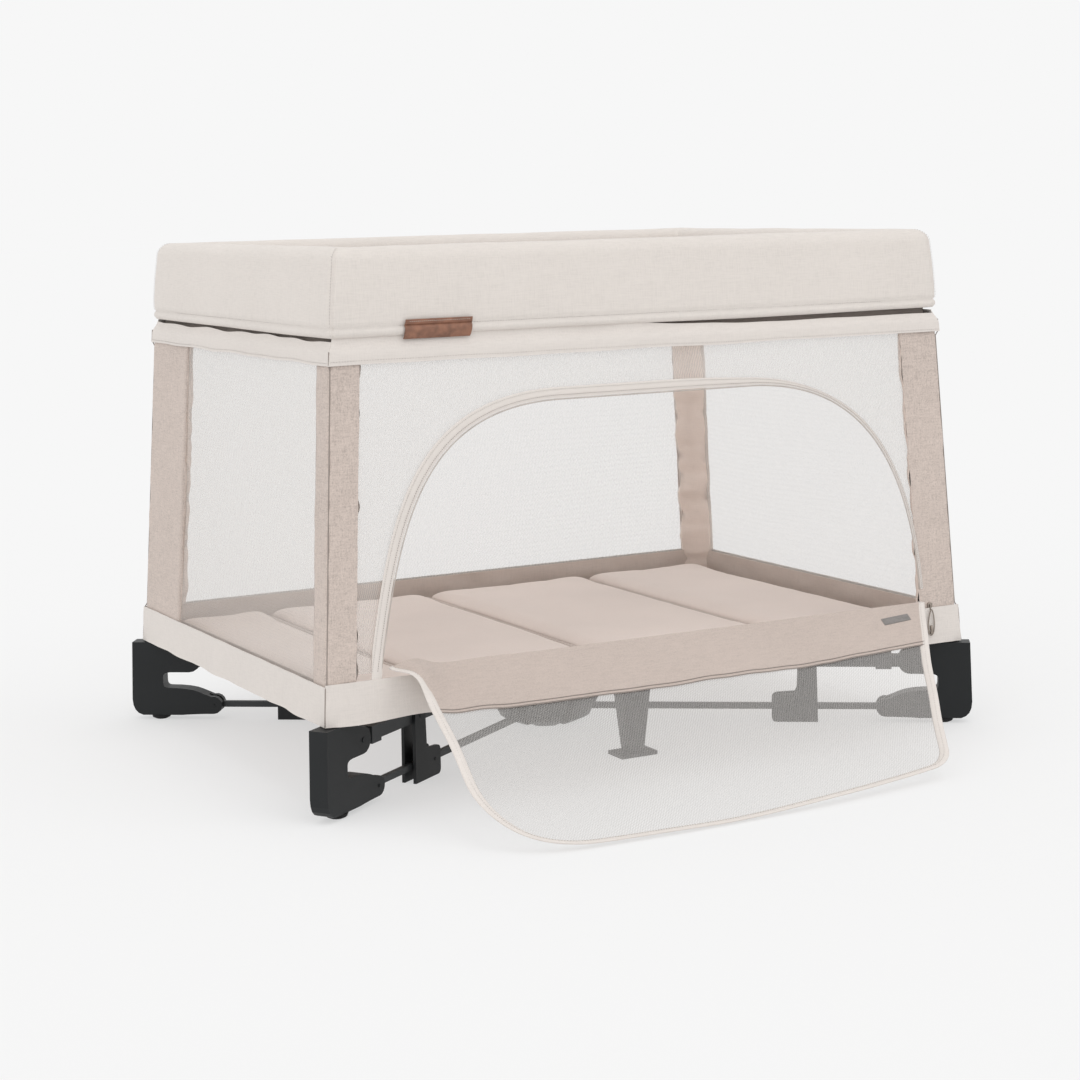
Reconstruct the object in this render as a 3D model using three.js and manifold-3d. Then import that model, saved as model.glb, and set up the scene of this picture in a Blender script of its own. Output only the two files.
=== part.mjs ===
// A folding travel playpen with a zipped door, in millimetres, +Z up.
// The origin is on the floor under the middle of the hub. The door is on the -Y long side and lies open.
// Four corner legs are tied to a central hub by parallelogram links (an upper arm and a lower rod each),
// and four top rails break downwards at a latch, so everything draws in to the middle when the hub is lifted.
import * as THREE from "three";
import { mergeVertices } from "three/addons/utils/BufferGeometryUtils.js";
import Module from "manifold-3d";

const wasm = await Module();
wasm.setup();

// ---------- driving dimensions ----------
const PAD_SPAN = { x: 1085, y: 750 }; // between the foot pads' centres, which sets length and width
const RAIL_DRAW_IN = { x: 95, y: 70 }; // how much closer the posts stand at the rails than the pads
const POST_FOOT_OUTSET = { x: 4, y: 1 }; // between post axes in the boots, beyond the pad span
const RAIL_Z = 770; // height of the top rails' axes
const ARM_Z = 102; // height of the upper arms' pivots
const ROD_Z = 25; // height of the lower rods' pivots
const ROD_INSET = 40; // how far the rod pivots lie inside the arm pivots
const ARM_PIVOT_FROM_PAD = 55; // upper arm pivot to pad centre, along the diagonal
const HUB_PIVOT_RADIUS = 100;
const MID_LEG_FROM_ARM_END = 170;
const SIDE_SUPPORT_INSET = 88; // pad line to the side leg's centre

const ARM_PIN = 4; // pin radii
const ROD_PIN = 2.5;
const RAIL_PIN = 3.5;
const PIN_GAP = 0.4; // radial, pin to eye
const SIDE_GAP = 0.3; // each side of a tongue in its slot
const TOUCH_GAP = 0.3; // between pieces that rest on each other
const ARM = { width: 14, height: 20, eye: ARM_PIN + 8 };
const ROD = { width: 8, height: 10, eye: ROD_PIN + 5.5 };
const ARM_SLEEVE = { from: 56, to: 30, half: 11, reach: 13 }; // from and to the arm's outer pivot

const BOOT = { width: 30, inner: -9.5, outer: 45.5, bottom: 8 }; // inner and outer from the pad centre
const BOOT_TOP = ARM_Z + 32;
const POST_RADIUS = 9;
const POST_SOCKET = 40;
const RAIL_RADIUS = 9;
const TONGUE = { width: 12, eye: RAIL_PIN + 6.5, length: 28, tubeStart: 22 };
const TONGUE_SLOT_HALF = TONGUE.width / 2 + SIDE_GAP;
const RAIL_PIVOT_INSET = { x: 40, y: 28 }; // post axis to rail pivot

const COVER = { drop: 92, rise: 34, roof: 8, channelHalf: 24, corner: 12 }; // drop and rise from RAIL_Z
const COVER_SKIN = { x: 6, y: 4 }; // padded wall outside and inside the channel
const BLOCK_GAP = 4; // top corner block to the cover's channel
const CORNER_BLOCK = { half: COVER.channelHalf - BLOCK_GAP, bottom: RAIL_Z - 28, top: RAIL_Z + 22, socket: 20 };
const EAR = { half: TONGUE_SLOT_HALF + 6.7, below: TONGUE.eye, top: RAIL_Z + 20, slotTop: RAIL_Z + 13 };
const LATCH = { half: TONGUE_SLOT_HALF + 10.7, bottom: RAIL_Z - 24, top: RAIL_Z + TONGUE.eye, floor: RAIL_Z - 13 };
const PIVOT_END = { ear: 12, latch: 16 }; // material beyond a rail pivot
const BUTTON = { halfLength: 11, halfWidth: 6, below: 7, above: 5, travel: 5, gap: 0.5 }; // from LATCH.bottom

const WALL_OUTSET = { x: 17.5, y: 14 }; // pad line to the foot of the wall's outer face
const WALL = { skin: 2, overBoot: 3, underHem: 6, pastCover: 0.5 };
const DOOR = { band: 69, header: 81, margin: 70, shoulder: 325, gap: 1.5, hingeGap: 4, skin: 2 };
const FLOOR = { inset: 8, chamfer: 40, overBoot: 6, thickness: 4 };
const MATTRESS = { postGap: 5.5, corner: 30, overFloor: 2, thickness: 26 };
const SIDE_LEG = { topHalf: 30, neckHalf: 14, underFloor: 12, depth: 22, pinHalf: 14 };
const SIDE_BASE = { half: { x: 32, y: 22 }, height: 6 };
const HUB = { coreGap: 10, rimWall: 22, underFloor: 10, cap: 11, footInset: 72 };
const ZIP = { fromDoor: 12, half: 5, belowSill: 16, height: 14, depth: 4, pivot: 4 };
const ZIP_PULL = { length: 42, head: 1, thickness: 2.5, gap: 0.5 }; // head is the material above its pivot
const TAG = { fromCorner: 114, width: 105, belowHem: 6, height: 27, thickness: 2.5 };
const ROUND = 12; // sides of a round piece

// ---------- worked out from them ----------
const both = (work) => ({ x: work("x"), y: work("y") });
const POST_FOOT_SPAN = both((k) => PAD_SPAN[k] + POST_FOOT_OUTSET[k]);
const RAIL_SPAN = both((k) => PAD_SPAN[k] - RAIL_DRAW_IN[k]);
const coverOuter = both((k) => RAIL_SPAN[k] / 2 + COVER.channelHalf + COVER_SKIN[k]);
const hem = RAIL_Z - COVER.drop;
const wallBottom = BOOT_TOP + WALL.overBoot;
const wallTop = hem - WALL.underHem;
const wallBottomHalf = both((k) => PAD_SPAN[k] / 2 + WALL_OUTSET[k]);
const wallTopHalf = both((k) => coverOuter[k] + WALL.pastCover);
const sill = wallBottom + DOOR.band;
const crown = wallTop - DOOR.header;
const doorHalf = wallBottomHalf.x - DOOR.margin;
const crownHalf = doorHalf - DOOR.shoulder;
const floorBottom = BOOT_TOP + FLOOR.overBoot;
const mattressBottom = floorBottom + FLOOR.thickness + MATTRESS.overFloor;
const hubTop = floorBottom - HUB.underFloor;
const hubRim = HUB_PIVOT_RADIUS + HUB.rimWall;

const diagonal = Math.hypot(PAD_SPAN.x, PAD_SPAN.y) / 2;
const out = { x: PAD_SPAN.x / 2 / diagonal, y: PAD_SPAN.y / 2 / diagonal };
const armEnd = diagonal - ARM_PIVOT_FROM_PAD;
const armLength = armEnd - HUB_PIVOT_RADIUS;
const rodStart = HUB_PIVOT_RADIUS - ROD_INSET;
const rodEnd = armEnd - ROD_INSET;
const midLegAt = armEnd - MID_LEG_FROM_ARM_END;
const supportReach = PAD_SPAN.y / 2 - SIDE_SUPPORT_INSET;
const armSlotHalf = ARM.width / 2 + SIDE_GAP;
const rodSlotHalf = ROD.width / 2 + SIDE_GAP;
// A rail half is as long as its arm's reach along that side, so both turn through the same angle.
const railHalf = both((k) => armLength * out[k]);
const railPivot = both((k) => RAIL_SPAN[k] / 2 - RAIL_PIVOT_INSET[k]);
const latchPivot = both((k) => railPivot[k] - railHalf[k]);

const CORNERS = {
  front_left: { x: -1, y: -1 },
  front_right: { x: 1, y: -1 },
  rear_left: { x: -1, y: 1 },
  rear_right: { x: 1, y: 1 },
};

// ---------- materials ----------
const finish = (color, roughness, metalness = 0) =>
  new THREE.MeshStandardMaterial({ color, roughness, metalness });
const MATERIAL = {
  plastic: finish(0x2e3133, 0.55),
  steel: finish(0x26282a, 0.4, 0.6),
  tube: finish(0x9a9ca0, 0.35, 0.8),
  rubber: finish(0x101112, 0.9),
  button: finish(0x8b8d90, 0.5),
  cover: finish(0xe6dfd6, 0.9),
  mesh: finish(0xebe6df, 0.85),
  base: finish(0xd2c6b8, 0.9),
  mattress: finish(0xd9cbbe, 0.9),
  leather: finish(0x8a4b2b, 0.6),
  zip: finish(0x8f8d88, 0.35, 0.8),
};

// ---------- solid helpers ----------
function solid(geometry) {
  const bare = geometry.clone();
  bare.deleteAttribute("normal");
  bare.deleteAttribute("uv");
  const merged = mergeVertices(bare, 1e-4);
  return new wasm.Manifold(
    new wasm.Mesh({
      numProp: 3,
      vertProperties: new Float32Array(merged.attributes.position.array),
      triVerts: new Uint32Array(merged.index.array),
    }),
  );
}

function geometryOf(body) {
  const mesh = body.getMesh();
  return new THREE.BufferGeometry()
    .setAttribute("position", new THREE.BufferAttribute(mesh.vertProperties, 3))
    .setIndex(new THREE.BufferAttribute(mesh.triVerts, 1));
}

const join = (...bodies) => bodies.reduce((a, b) => a.add(b));
const cut = (body, ...tools) => tools.reduce((a, b) => a.subtract(b), body);

function box(x0, x1, y0, y1, z0, z1) {
  const size = new THREE.BoxGeometry(x1 - x0, y1 - y0, z1 - z0);
  return solid(size.translate((x0 + x1) / 2, (y0 + y1) / 2, (z0 + z1) / 2));
}

// A cylinder of one radius between two points.
function bar(from, to, radius, sides = ROUND) {
  const along = new THREE.Vector3().subVectors(to, from);
  const turn = new THREE.Quaternion().setFromUnitVectors(
    new THREE.Vector3(0, 1, 0),
    along.clone().normalize(),
  );
  return solid(
    new THREE.CylinderGeometry(radius, radius, along.length(), sides)
      .translate(0, along.length() / 2, 0)
      .applyQuaternion(turn)
      .translate(from.x, from.y, from.z),
  );
}

const at = (x, y, z) => new THREE.Vector3(x, y, z);

// A cylinder across the Y direction, for pins and eyes that turn in the XZ plane.
const across = (x, z, radius, half, sides) => bar(at(x, -half, z), at(x, half, z), radius, sides);

// An outline in the XZ plane, given thickness in Y and centred on y = 0.
function plate(shape, thickness) {
  const geometry = new THREE.ExtrudeGeometry(shape, {
    depth: thickness,
    bevelEnabled: false,
    curveSegments: 4,
  });
  return solid(geometry.translate(0, 0, -thickness / 2).rotateX(Math.PI / 2));
}

function roundedRectangle(halfX, halfY, radius) {
  const shape = new THREE.Shape();
  const quarter = Math.PI / 2;
  shape.absarc(halfX - radius, halfY - radius, radius, 0, quarter);
  shape.absarc(radius - halfX, halfY - radius, radius, quarter, 2 * quarter);
  shape.absarc(radius - halfX, radius - halfY, radius, 2 * quarter, 3 * quarter);
  shape.absarc(halfX - radius, radius - halfY, radius, 3 * quarter, 4 * quarter);
  return shape;
}

function slab(shape, low, high) {
  const geometry = new THREE.ExtrudeGeometry(shape, {
    depth: high - low,
    bevelEnabled: false,
    curveSegments: 4,
  });
  return solid(geometry.translate(0, 0, low));
}

const playpen = new THREE.Group();

function add(name, body, material, parent = playpen) {
  const mesh = new THREE.Mesh(geometryOf(body), material);
  mesh.name = name;
  parent.add(mesh);
  return mesh;
}

// A group whose +X runs from the centre of the playpen outwards along one diagonal.
function diagonalGroup({ x, y }) {
  const group = new THREE.Group();
  group.rotation.z = Math.atan2(y * out.y, x * out.x);
  playpen.add(group);
  return group;
}

// A flat link with an eye at each of the given places and a bar from the first to the last.
function link(size, z, pinRadius, places) {
  const first = places[0];
  const last = places[places.length - 1];
  const half = size.width / 2;
  const eyes = places.map((x) => across(x, z, size.eye, half));
  const holes = places.map((x) => across(x, z, pinRadius + PIN_GAP, size.width));
  const body = box(first, last, -half, half, z - size.height / 2, z + size.height / 2);
  return cut(join(body, ...eyes), ...holes);
}

// ---------- centre hub ----------
function hub() {
  const foot = hubRim - HUB.footInset;
  const profile = [
    [0, 0],
    [foot, 0],
    [foot + 26, 12],
    [foot + 40, ROD_Z + 14],
    [foot + 46, ARM_Z - 26],
    [hubRim, ARM_Z - ARM.eye],
    [hubRim, hubTop - 4],
    [hubRim - 6, hubTop],
    [0, hubTop],
  ].map(([r, z]) => new THREE.Vector2(r, z));
  let body = solid(new THREE.LatheGeometry(profile, 2 * ROUND).rotateX(Math.PI / 2));
  const core = rodStart - ROD.eye - HUB.coreGap;
  const pinGrip = 4; // pin ends held in the slot's sides
  const diagonals = Object.values(CORNERS).map(({ x, y }) => Math.atan2(y * out.y, x * out.x));
  for (const angle of [...diagonals, Math.PI / 2, -Math.PI / 2]) {
    const slot = box(core, hubRim + 10, -armSlotHalf, armSlotHalf, -5, hubTop - HUB.cap);
    body = body.subtract(slot.rotate([0, 0, THREE.MathUtils.radToDeg(angle)]));
  }
  for (const angle of [...diagonals, Math.PI / 2, -Math.PI / 2]) {
    const pin = across(HUB_PIVOT_RADIUS, ARM_Z, ARM_PIN, armSlotHalf + pinGrip);
    body = body.add(pin.rotate([0, 0, THREE.MathUtils.radToDeg(angle)]));
  }
  for (const angle of diagonals) {
    const pin = across(rodStart, ROD_Z, ROD_PIN, armSlotHalf + pinGrip);
    body = body.add(pin.rotate([0, 0, THREE.MathUtils.radToDeg(angle)]));
  }
  return body;
}

// ---------- corner pieces, +X outwards along the diagonal ----------
function bootOutline() {
  const { inner, outer, bottom } = BOOT;
  const arm = -ARM_PIVOT_FROM_PAD;
  const rod = arm - ROD_INSET;
  const bracketNose = 20;
  const toeNose = 15;
  const toeTop = ROD_Z + 30;
  const bracketLow = ARM_Z - bracketNose;
  const fillet = Math.min(8, (bracketLow - toeTop) / 2.5);
  const quarter = Math.PI / 2;
  const shape = new THREE.Shape();
  shape.moveTo(outer - 4, BOOT_TOP);
  shape.lineTo(outer, 36);
  shape.quadraticCurveTo(outer, bottom + 4, outer - 18, bottom);
  shape.lineTo(inner - 30, bottom);
  shape.quadraticCurveTo(rod + 28, ROD_Z - toeNose, rod, ROD_Z - toeNose);
  shape.absarc(rod, ROD_Z, toeNose, -quarter, -3 * quarter - 0.25, true);
  shape.lineTo(rod + 24, toeTop - 7);
  shape.quadraticCurveTo(rod + 40, toeTop, inner - fillet, toeTop);
  shape.quadraticCurveTo(inner, toeTop, inner, toeTop + fillet);
  shape.lineTo(inner, bracketLow - fillet);
  shape.quadraticCurveTo(inner, bracketLow, inner - 14, bracketLow);
  shape.lineTo(arm, bracketLow);
  shape.absarc(arm, ARM_Z, bracketNose, -quarter, -3 * quarter, true);
  shape.lineTo(inner - 6, BOOT_TOP);
  return shape;
}

function cornerBoot() {
  const arm = -ARM_PIVOT_FROM_PAD;
  const rod = arm - ROD_INSET;
  const slotWall = 2; // beyond the eye
  const cheeks = BOOT.width / 2;
  const body = cut(
    plate(bootOutline(), BOOT.width),
    box(arm - 30, arm + ARM.eye + slotWall, -armSlotHalf, armSlotHalf, ARM_Z - 30, BOOT_TOP + 5),
    box(rod - 20, rod + ROD.eye + slotWall, -rodSlotHalf, rodSlotHalf, 0, ROD_Z + 40),
  );
  const head = 1.2; // rivet heads stand this far out of the cheeks
  return join(
    body,
    across(arm, ARM_Z, ARM_PIN, cheeks + head),
    across(rod, ROD_Z, ROD_PIN, cheeks + head),
  ).translate([diagonal, 0, 0]);
}

function footPad() {
  const top = BOOT.bottom - TOUCH_GAP;
  const profile = [
    [0, 0],
    [10, 0],
    [15, 2.5],
    [17, top],
    [0, top],
  ].map(([r, z]) => new THREE.Vector2(r, z));
  const lathe = new THREE.LatheGeometry(profile, ROUND).rotateX(Math.PI / 2);
  return solid(lathe).translate([diagonal, 0, 0]);
}

function upperArm() {
  const { from, to, half, reach } = ARM_SLEEVE;
  const places = [HUB_PIVOT_RADIUS, midLegAt, armEnd];
  return join(
    link(ARM, ARM_Z, ARM_PIN, places),
    box(armEnd - from, armEnd - to, -half, half, ARM_Z - reach, ARM_Z + reach),
  );
}

const lowerRod = () => link(ROD, ROD_Z, ROD_PIN, [rodStart, midLegAt - ROD_INSET, rodEnd]);

function midLeg() {
  const toe = midLegAt - ROD_INSET;
  const back = midLegAt + 20;
  const front = midLegAt - 15;
  const top = BOOT_TOP - 1;
  const shape = new THREE.Shape();
  shape.moveTo(back, 0);
  shape.lineTo(toe - 8, 0);
  shape.quadraticCurveTo(toe - 16, 0, toe - 16, 10);
  shape.lineTo(toe - 16, ROD_Z + 12);
  shape.quadraticCurveTo(toe - 16, ROD_Z + 20, toe - 6, ROD_Z + 21);
  shape.lineTo(front - 3, ROD_Z + 23);
  shape.lineTo(front, ROD_Z + 30);
  shape.lineTo(front + 3, top);
  shape.lineTo(back - 3, top);
  const cheek = 5;
  const half = armSlotHalf;
  const web = 6;
  const webBottom = ARM_Z + ARM.height / 2 + 7;
  const body = cut(
    plate(shape, 2 * (half + cheek)),
    box(toe - 30, back - web, -half, half, -5, top + 5),
    box(front, back + 5, -half, half, -5, webBottom),
  );
  return join(
    body,
    across(midLegAt, ARM_Z, ARM_PIN, half + cheek + 1),
    across(toe, ROD_Z, ROD_PIN, half + cheek + 1),
  );
}

// ---------- posts and top corners, built for the +X +Y corner and mirrored by sign ----------
const postFoot = ({ x, y }) => at((x * POST_FOOT_SPAN.x) / 2, (y * POST_FOOT_SPAN.y) / 2, BOOT_TOP);
const postHead = ({ x, y }) => at((x * RAIL_SPAN.x) / 2, (y * RAIL_SPAN.y) / 2, RAIL_Z);

// A stretch of the post's own leaning axis between two heights.
function postStretch(corner, low, high, radius) {
  const foot = postFoot(corner);
  const head = postHead(corner);
  const point = (z) => foot.clone().lerp(head, (z - foot.z) / (head.z - foot.z));
  return bar(point(low), point(high), radius);
}

const postBottom = BOOT_TOP - POST_SOCKET;
const postTop = CORNER_BLOCK.bottom + CORNER_BLOCK.socket;
const post = (corner) => postStretch(corner, postBottom, postTop, POST_RADIUS);
const postSocket = (corner, low, high) => postStretch(corner, low, high, POST_RADIUS + PIN_GAP);

function topCorner(corner) {
  const { half, bottom, top } = CORNER_BLOCK;
  const head = postHead(corner);
  const slotHalf = TONGUE_SLOT_HALF;
  const earBottom = RAIL_Z - EAR.below;
  const eye = TONGUE.eye + 2;
  // One clevis for the rail that leaves the corner along local -X.
  const clevis = (inset) => ({
    ears: box(-inset - PIVOT_END.ear, 0, -EAR.half, EAR.half, earBottom, EAR.top),
    slot: box(-inset - 40, -inset + eye, -slotHalf, slotHalf, bottom - 30, EAR.slotTop),
    pin: across(-inset, RAIL_Z, RAIL_PIN, EAR.half),
  });
  const long = clevis(RAIL_PIVOT_INSET.x);
  const short = clevis(RAIL_PIVOT_INSET.y);
  const longTurn = corner.x > 0 ? 0 : 180;
  const shortTurn = corner.y > 0 ? 90 : -90;
  const place = (piece, turn) => piece.rotate([0, 0, turn]).translate([head.x, head.y, 0]);
  const block = box(-half, half, -half, half, bottom, top).translate([head.x, head.y, 0]);
  const body = cut(
    join(block, place(long.ears, longTurn), place(short.ears, shortTurn)),
    place(long.slot, longTurn),
    place(short.slot, shortTurn),
    postSocket(corner, bottom - 20, postTop + TOUCH_GAP),
  );
  return join(body, place(long.pin, longTurn), place(short.pin, shortTurn));
}

// ---------- rails, built along +X from the latch side outwards ----------
function railTube(side) {
  const inner = latchPivot[side];
  const outer = railPivot[side];
  const half = TONGUE.width / 2;
  const z = RAIL_Z;
  const tongue = (x0, x1) => box(x0, x1, -half, half, z - TONGUE.eye, z + TONGUE.eye);
  const body = join(
    bar(at(inner + TONGUE.tubeStart, 0, z), at(outer - TONGUE.tubeStart, 0, z), RAIL_RADIUS),
    tongue(inner, inner + TONGUE.length),
    tongue(outer - TONGUE.length, outer),
    across(inner, z, TONGUE.eye, half),
    across(outer, z, TONGUE.eye, half),
  );
  return cut(
    body,
    across(inner, z, RAIL_PIN + PIN_GAP, TONGUE.width),
    across(outer, z, RAIL_PIN + PIN_GAP, TONGUE.width),
  );
}

function latchHousing(side) {
  const pivot = latchPivot[side];
  const reach = pivot + PIVOT_END.latch;
  const slotHalf = TONGUE_SLOT_HALF;
  const eye = TONGUE.eye + 2;
  const recess = BUTTON.gap;
  let body = box(-reach, reach, -LATCH.half, LATCH.half, LATCH.bottom, LATCH.top);
  for (const way of [-1, 1]) {
    const ends = [way * (pivot - eye), way * (reach + 10)].sort((a, b) => a - b);
    body = body.subtract(box(...ends, -slotHalf, slotHalf, LATCH.floor, LATCH.top + 10));
  }
  body = body.subtract(
    box(
      -BUTTON.halfLength - recess,
      BUTTON.halfLength + recess,
      -BUTTON.halfWidth - recess,
      BUTTON.halfWidth + recess,
      LATCH.bottom - 10,
      LATCH.bottom + BUTTON.above + BUTTON.travel + recess,
    ),
  );
  for (const way of [-1, 1]) {
    body = body.add(across(way * pivot, RAIL_Z, RAIL_PIN, LATCH.half));
  }
  return body;
}

function latchButton() {
  const { halfLength, halfWidth, below, above } = BUTTON;
  const shape = roundedRectangle(halfLength, halfWidth, 3);
  return slab(shape, LATCH.bottom - below, LATCH.bottom + above);
}

// ---------- soft goods ----------
function railCover() {
  const { rise, roof, channelHalf, corner } = COVER;
  const top = RAIL_Z + rise;
  const line = both((k) => RAIL_SPAN[k] / 2);
  const inner = both((k) => line[k] - channelHalf - COVER_SKIN[k]);
  const ring = cut(
    slab(roundedRectangle(coverOuter.x, coverOuter.y, corner), hem, top),
    slab(roundedRectangle(inner.x, inner.y, 6), hem - 10, top + 10),
  );
  const channel = cut(
    box(-line.x - channelHalf, line.x + channelHalf, -line.y - channelHalf, line.y + channelHalf,
      hem - 20, top - roof),
    box(channelHalf - line.x, line.x - channelHalf, channelHalf - line.y, line.y - channelHalf,
      hem - 30, top),
  );
  return ring.subtract(channel);
}

// Leans an upright plate so that it meets the rail cover: y grows by the lean for each mm of height.
function lean(body, low, high) {
  const slope = (high - low) / (wallTop - wallBottom);
  const start = low - slope * wallBottom;
  return body.transform([1, 0, 0, 0, 0, 1, 0, 0, 0, slope, 1, 0, 0, start, 0, 1]);
}

function wallOutline(side, inset) {
  const shape = new THREE.Shape();
  shape.moveTo(-wallBottomHalf[side] + inset, wallBottom);
  shape.lineTo(wallBottomHalf[side] - inset, wallBottom);
  shape.lineTo(wallTopHalf[side] - inset, wallTop);
  shape.lineTo(-wallTopHalf[side] + inset, wallTop);
  return shape;
}

// A wall as it stands on the +Y side (length along X); its outer face is at the stated half width.
function wall(lengthSide, faceSide, inset) {
  const upright = plate(wallOutline(lengthSide, inset), WALL.skin);
  const half = WALL.skin / 2;
  return lean(upright, wallBottomHalf[faceSide] - half, wallTopHalf[faceSide] - half);
}

// The arch of the door: upright sides that curve over to a nearly flat crown.
function archOutline(low, shrink) {
  const half = doorHalf - shrink;
  const top = crown - shrink;
  const lower = { x: half - 35, z: sill + (crown - sill) / 2 };
  const upper = crownHalf + 235 - shrink;
  const shape = new THREE.Shape();
  shape.moveTo(-half, low);
  shape.lineTo(half, low);
  shape.bezierCurveTo(lower.x, lower.z, upper, top, crownHalf, top);
  shape.lineTo(-crownHalf, top);
  shape.bezierCurveTo(-upper, top, -lower.x, lower.z, -half, low);
  return shape;
}

const wallFace = (z, side) => {
  const share = (z - wallBottom) / (wallTop - wallBottom);
  return wallBottomHalf[side] + share * (wallTopHalf[side] - wallBottomHalf[side]);
};

function frontWall() {
  const doorway = plate(archOutline(sill, 0), 200);
  const standing = wall("x", "y", 0).rotate([0, 0, 180]);
  return standing.subtract(doorway.translate([0, -wallFace(sill, "y"), 0]));
}

// The door hangs from the sill and its crown rests on the floor in front.
function doorFlap() {
  const half = WALL.skin / 2;
  const hinge = { y: half - wallFace(sill, "y"), z: sill };
  const upright = plate(archOutline(sill + DOOR.hingeGap, DOOR.gap), DOOR.skin);
  const closed = lean(upright, wallBottomHalf.y - half, wallTopHalf.y - half).rotate([0, 0, 180]);
  const slope = (wallBottomHalf.y - wallTopHalf.y) / (wallTop - wallBottom);
  const length = (crown - DOOR.gap - sill) * Math.hypot(1, slope);
  const droop = Math.asin((sill - DOOR.skin / 2 - TOUCH_GAP) / length);
  const swing = 90 + THREE.MathUtils.radToDeg(droop + Math.atan(slope));
  return closed
    .translate([0, -hinge.y, -hinge.z])
    .rotate([swing, 0, 0])
    .translate([0, hinge.y, hinge.z]);
}

function floorBase() {
  const { inset, chamfer, thickness } = FLOOR;
  const half = both((k) => wallBottomHalf[k] - inset);
  const shape = new THREE.Shape();
  shape.moveTo(half.x, chamfer - half.y);
  shape.lineTo(half.x, half.y - chamfer);
  shape.lineTo(half.x - chamfer, half.y);
  shape.lineTo(chamfer - half.x, half.y);
  shape.lineTo(-half.x, half.y - chamfer);
  shape.lineTo(-half.x, chamfer - half.y);
  shape.lineTo(chamfer - half.x, -half.y);
  shape.lineTo(half.x - chamfer, -half.y);
  return slab(shape, floorBottom, floorBottom + thickness);
}

function mattress() {
  const { postGap, corner, thickness } = MATTRESS;
  const half = both((k) => POST_FOOT_SPAN[k] / 2 - POST_RADIUS - postGap);
  return slab(roundedRectangle(half.x, half.y, corner), mattressBottom, mattressBottom + thickness);
}

// ---------- side legs on their struts, built towards -Y ----------
function sideStrut() {
  return link(ARM, ARM_Z, ARM_PIN, [HUB_PIVOT_RADIUS, supportReach]).rotate([0, 0, -90]);
}

// The leg hangs on the strut's pin, in a slot that is open upwards so that the strut can swing up past it.
function sideSupport() {
  const shape = new THREE.Shape();
  const { topHalf, neckHalf, underFloor, depth, pinHalf } = SIDE_LEG;
  const top = floorBottom - underFloor;
  shape.moveTo(-neckHalf, SIDE_BASE.height - 1);
  shape.lineTo(neckHalf, SIDE_BASE.height - 1);
  shape.lineTo(topHalf, top);
  shape.lineTo(-topHalf, top);
  const slotFloor = ARM_Z - ARM.eye - 2;
  const leg = plate(shape, depth).subtract(
    box(-armSlotHalf, armSlotHalf, -depth, depth, slotFloor, top + 5),
  );
  const { half, height } = SIDE_BASE;
  const foot = box(-half.x, half.x, -half.y, half.y, 0, height);
  const pin = bar(at(-pinHalf, 0, ARM_Z), at(pinHalf, 0, ARM_Z), ARM_PIN);
  return join(leg, foot, pin).translate([0, -supportReach, 0]);
}

// ---------- trim ----------
const zipAt = doorHalf + ZIP.fromDoor;
const zipLow = sill - ZIP.belowSill;
const zipFace = wallFace(zipLow, "y") + TOUCH_GAP;

function zipSlider() {
  const { half, height, depth } = ZIP;
  return box(zipAt - half, zipAt + half, -zipFace - depth, -zipFace, zipLow, zipLow + height);
}

function zipPull() {
  const { half, depth, pivot } = ZIP;
  const { length, head, thickness, gap } = ZIP_PULL;
  const face = zipFace + depth + gap;
  const top = zipLow + pivot + head;
  return box(zipAt - half, zipAt + half, -face - thickness, -face, top - length, top);
}

function leatherTag() {
  const { fromCorner, width, belowHem, height, thickness } = TAG;
  const left = fromCorner - coverOuter.x;
  const low = hem - belowHem;
  const face = coverOuter.y + TOUCH_GAP;
  return box(left, left + width, -face - thickness, -face, low, low + height);
}

// ---------- assembly ----------
add("hub_housing", hub(), MATERIAL.plastic);

for (const [name, corner] of Object.entries(CORNERS)) {
  const group = diagonalGroup(corner);
  const turn = THREE.MathUtils.radToDeg(group.rotation.z);
  const boot = cornerBoot()
    .rotate([0, 0, turn])
    .subtract(postSocket(corner, postBottom - TOUCH_GAP, BOOT_TOP + 20));
  add(`corner_boot_${name}`, boot, MATERIAL.plastic);
  add(`foot_pad_${name}`, footPad(), MATERIAL.rubber, group);
  add(`upper_arm_${name}`, upperArm(), MATERIAL.steel, group);
  add(`lower_rod_${name}`, lowerRod(), MATERIAL.steel, group);
  add(`mid_leg_${name}`, midLeg(), MATERIAL.plastic, group);
  add(`corner_post_${name}`, post(corner), MATERIAL.tube);
  add(`top_corner_${name}`, topCorner(corner), MATERIAL.plastic);
}

const SIDES = {
  front: { turn: 0, side: "x", ends: { left: 180, right: 0 }, offset: [0, -RAIL_SPAN.y / 2, 0] },
  rear: { turn: 0, side: "x", ends: { left: 180, right: 0 }, offset: [0, RAIL_SPAN.y / 2, 0] },
  left: { turn: 90, side: "y", ends: { front: -90, rear: 90 }, offset: [-RAIL_SPAN.x / 2, 0, 0] },
  right: { turn: 90, side: "y", ends: { front: -90, rear: 90 }, offset: [RAIL_SPAN.x / 2, 0, 0] },
};
for (const [name, { turn, side, ends, offset }] of Object.entries(SIDES)) {
  for (const [end, endTurn] of Object.entries(ends)) {
    const rail = railTube(side).rotate([0, 0, endTurn]).translate(offset);
    add(`rail_${name}_${end}`, rail, MATERIAL.tube);
  }
  const place = (body) => body.rotate([0, 0, turn]).translate(offset);
  add(`latch_${name}`, place(latchHousing(side)), MATERIAL.plastic);
  add(`latch_button_${name}`, place(latchButton()), MATERIAL.button);
}

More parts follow.
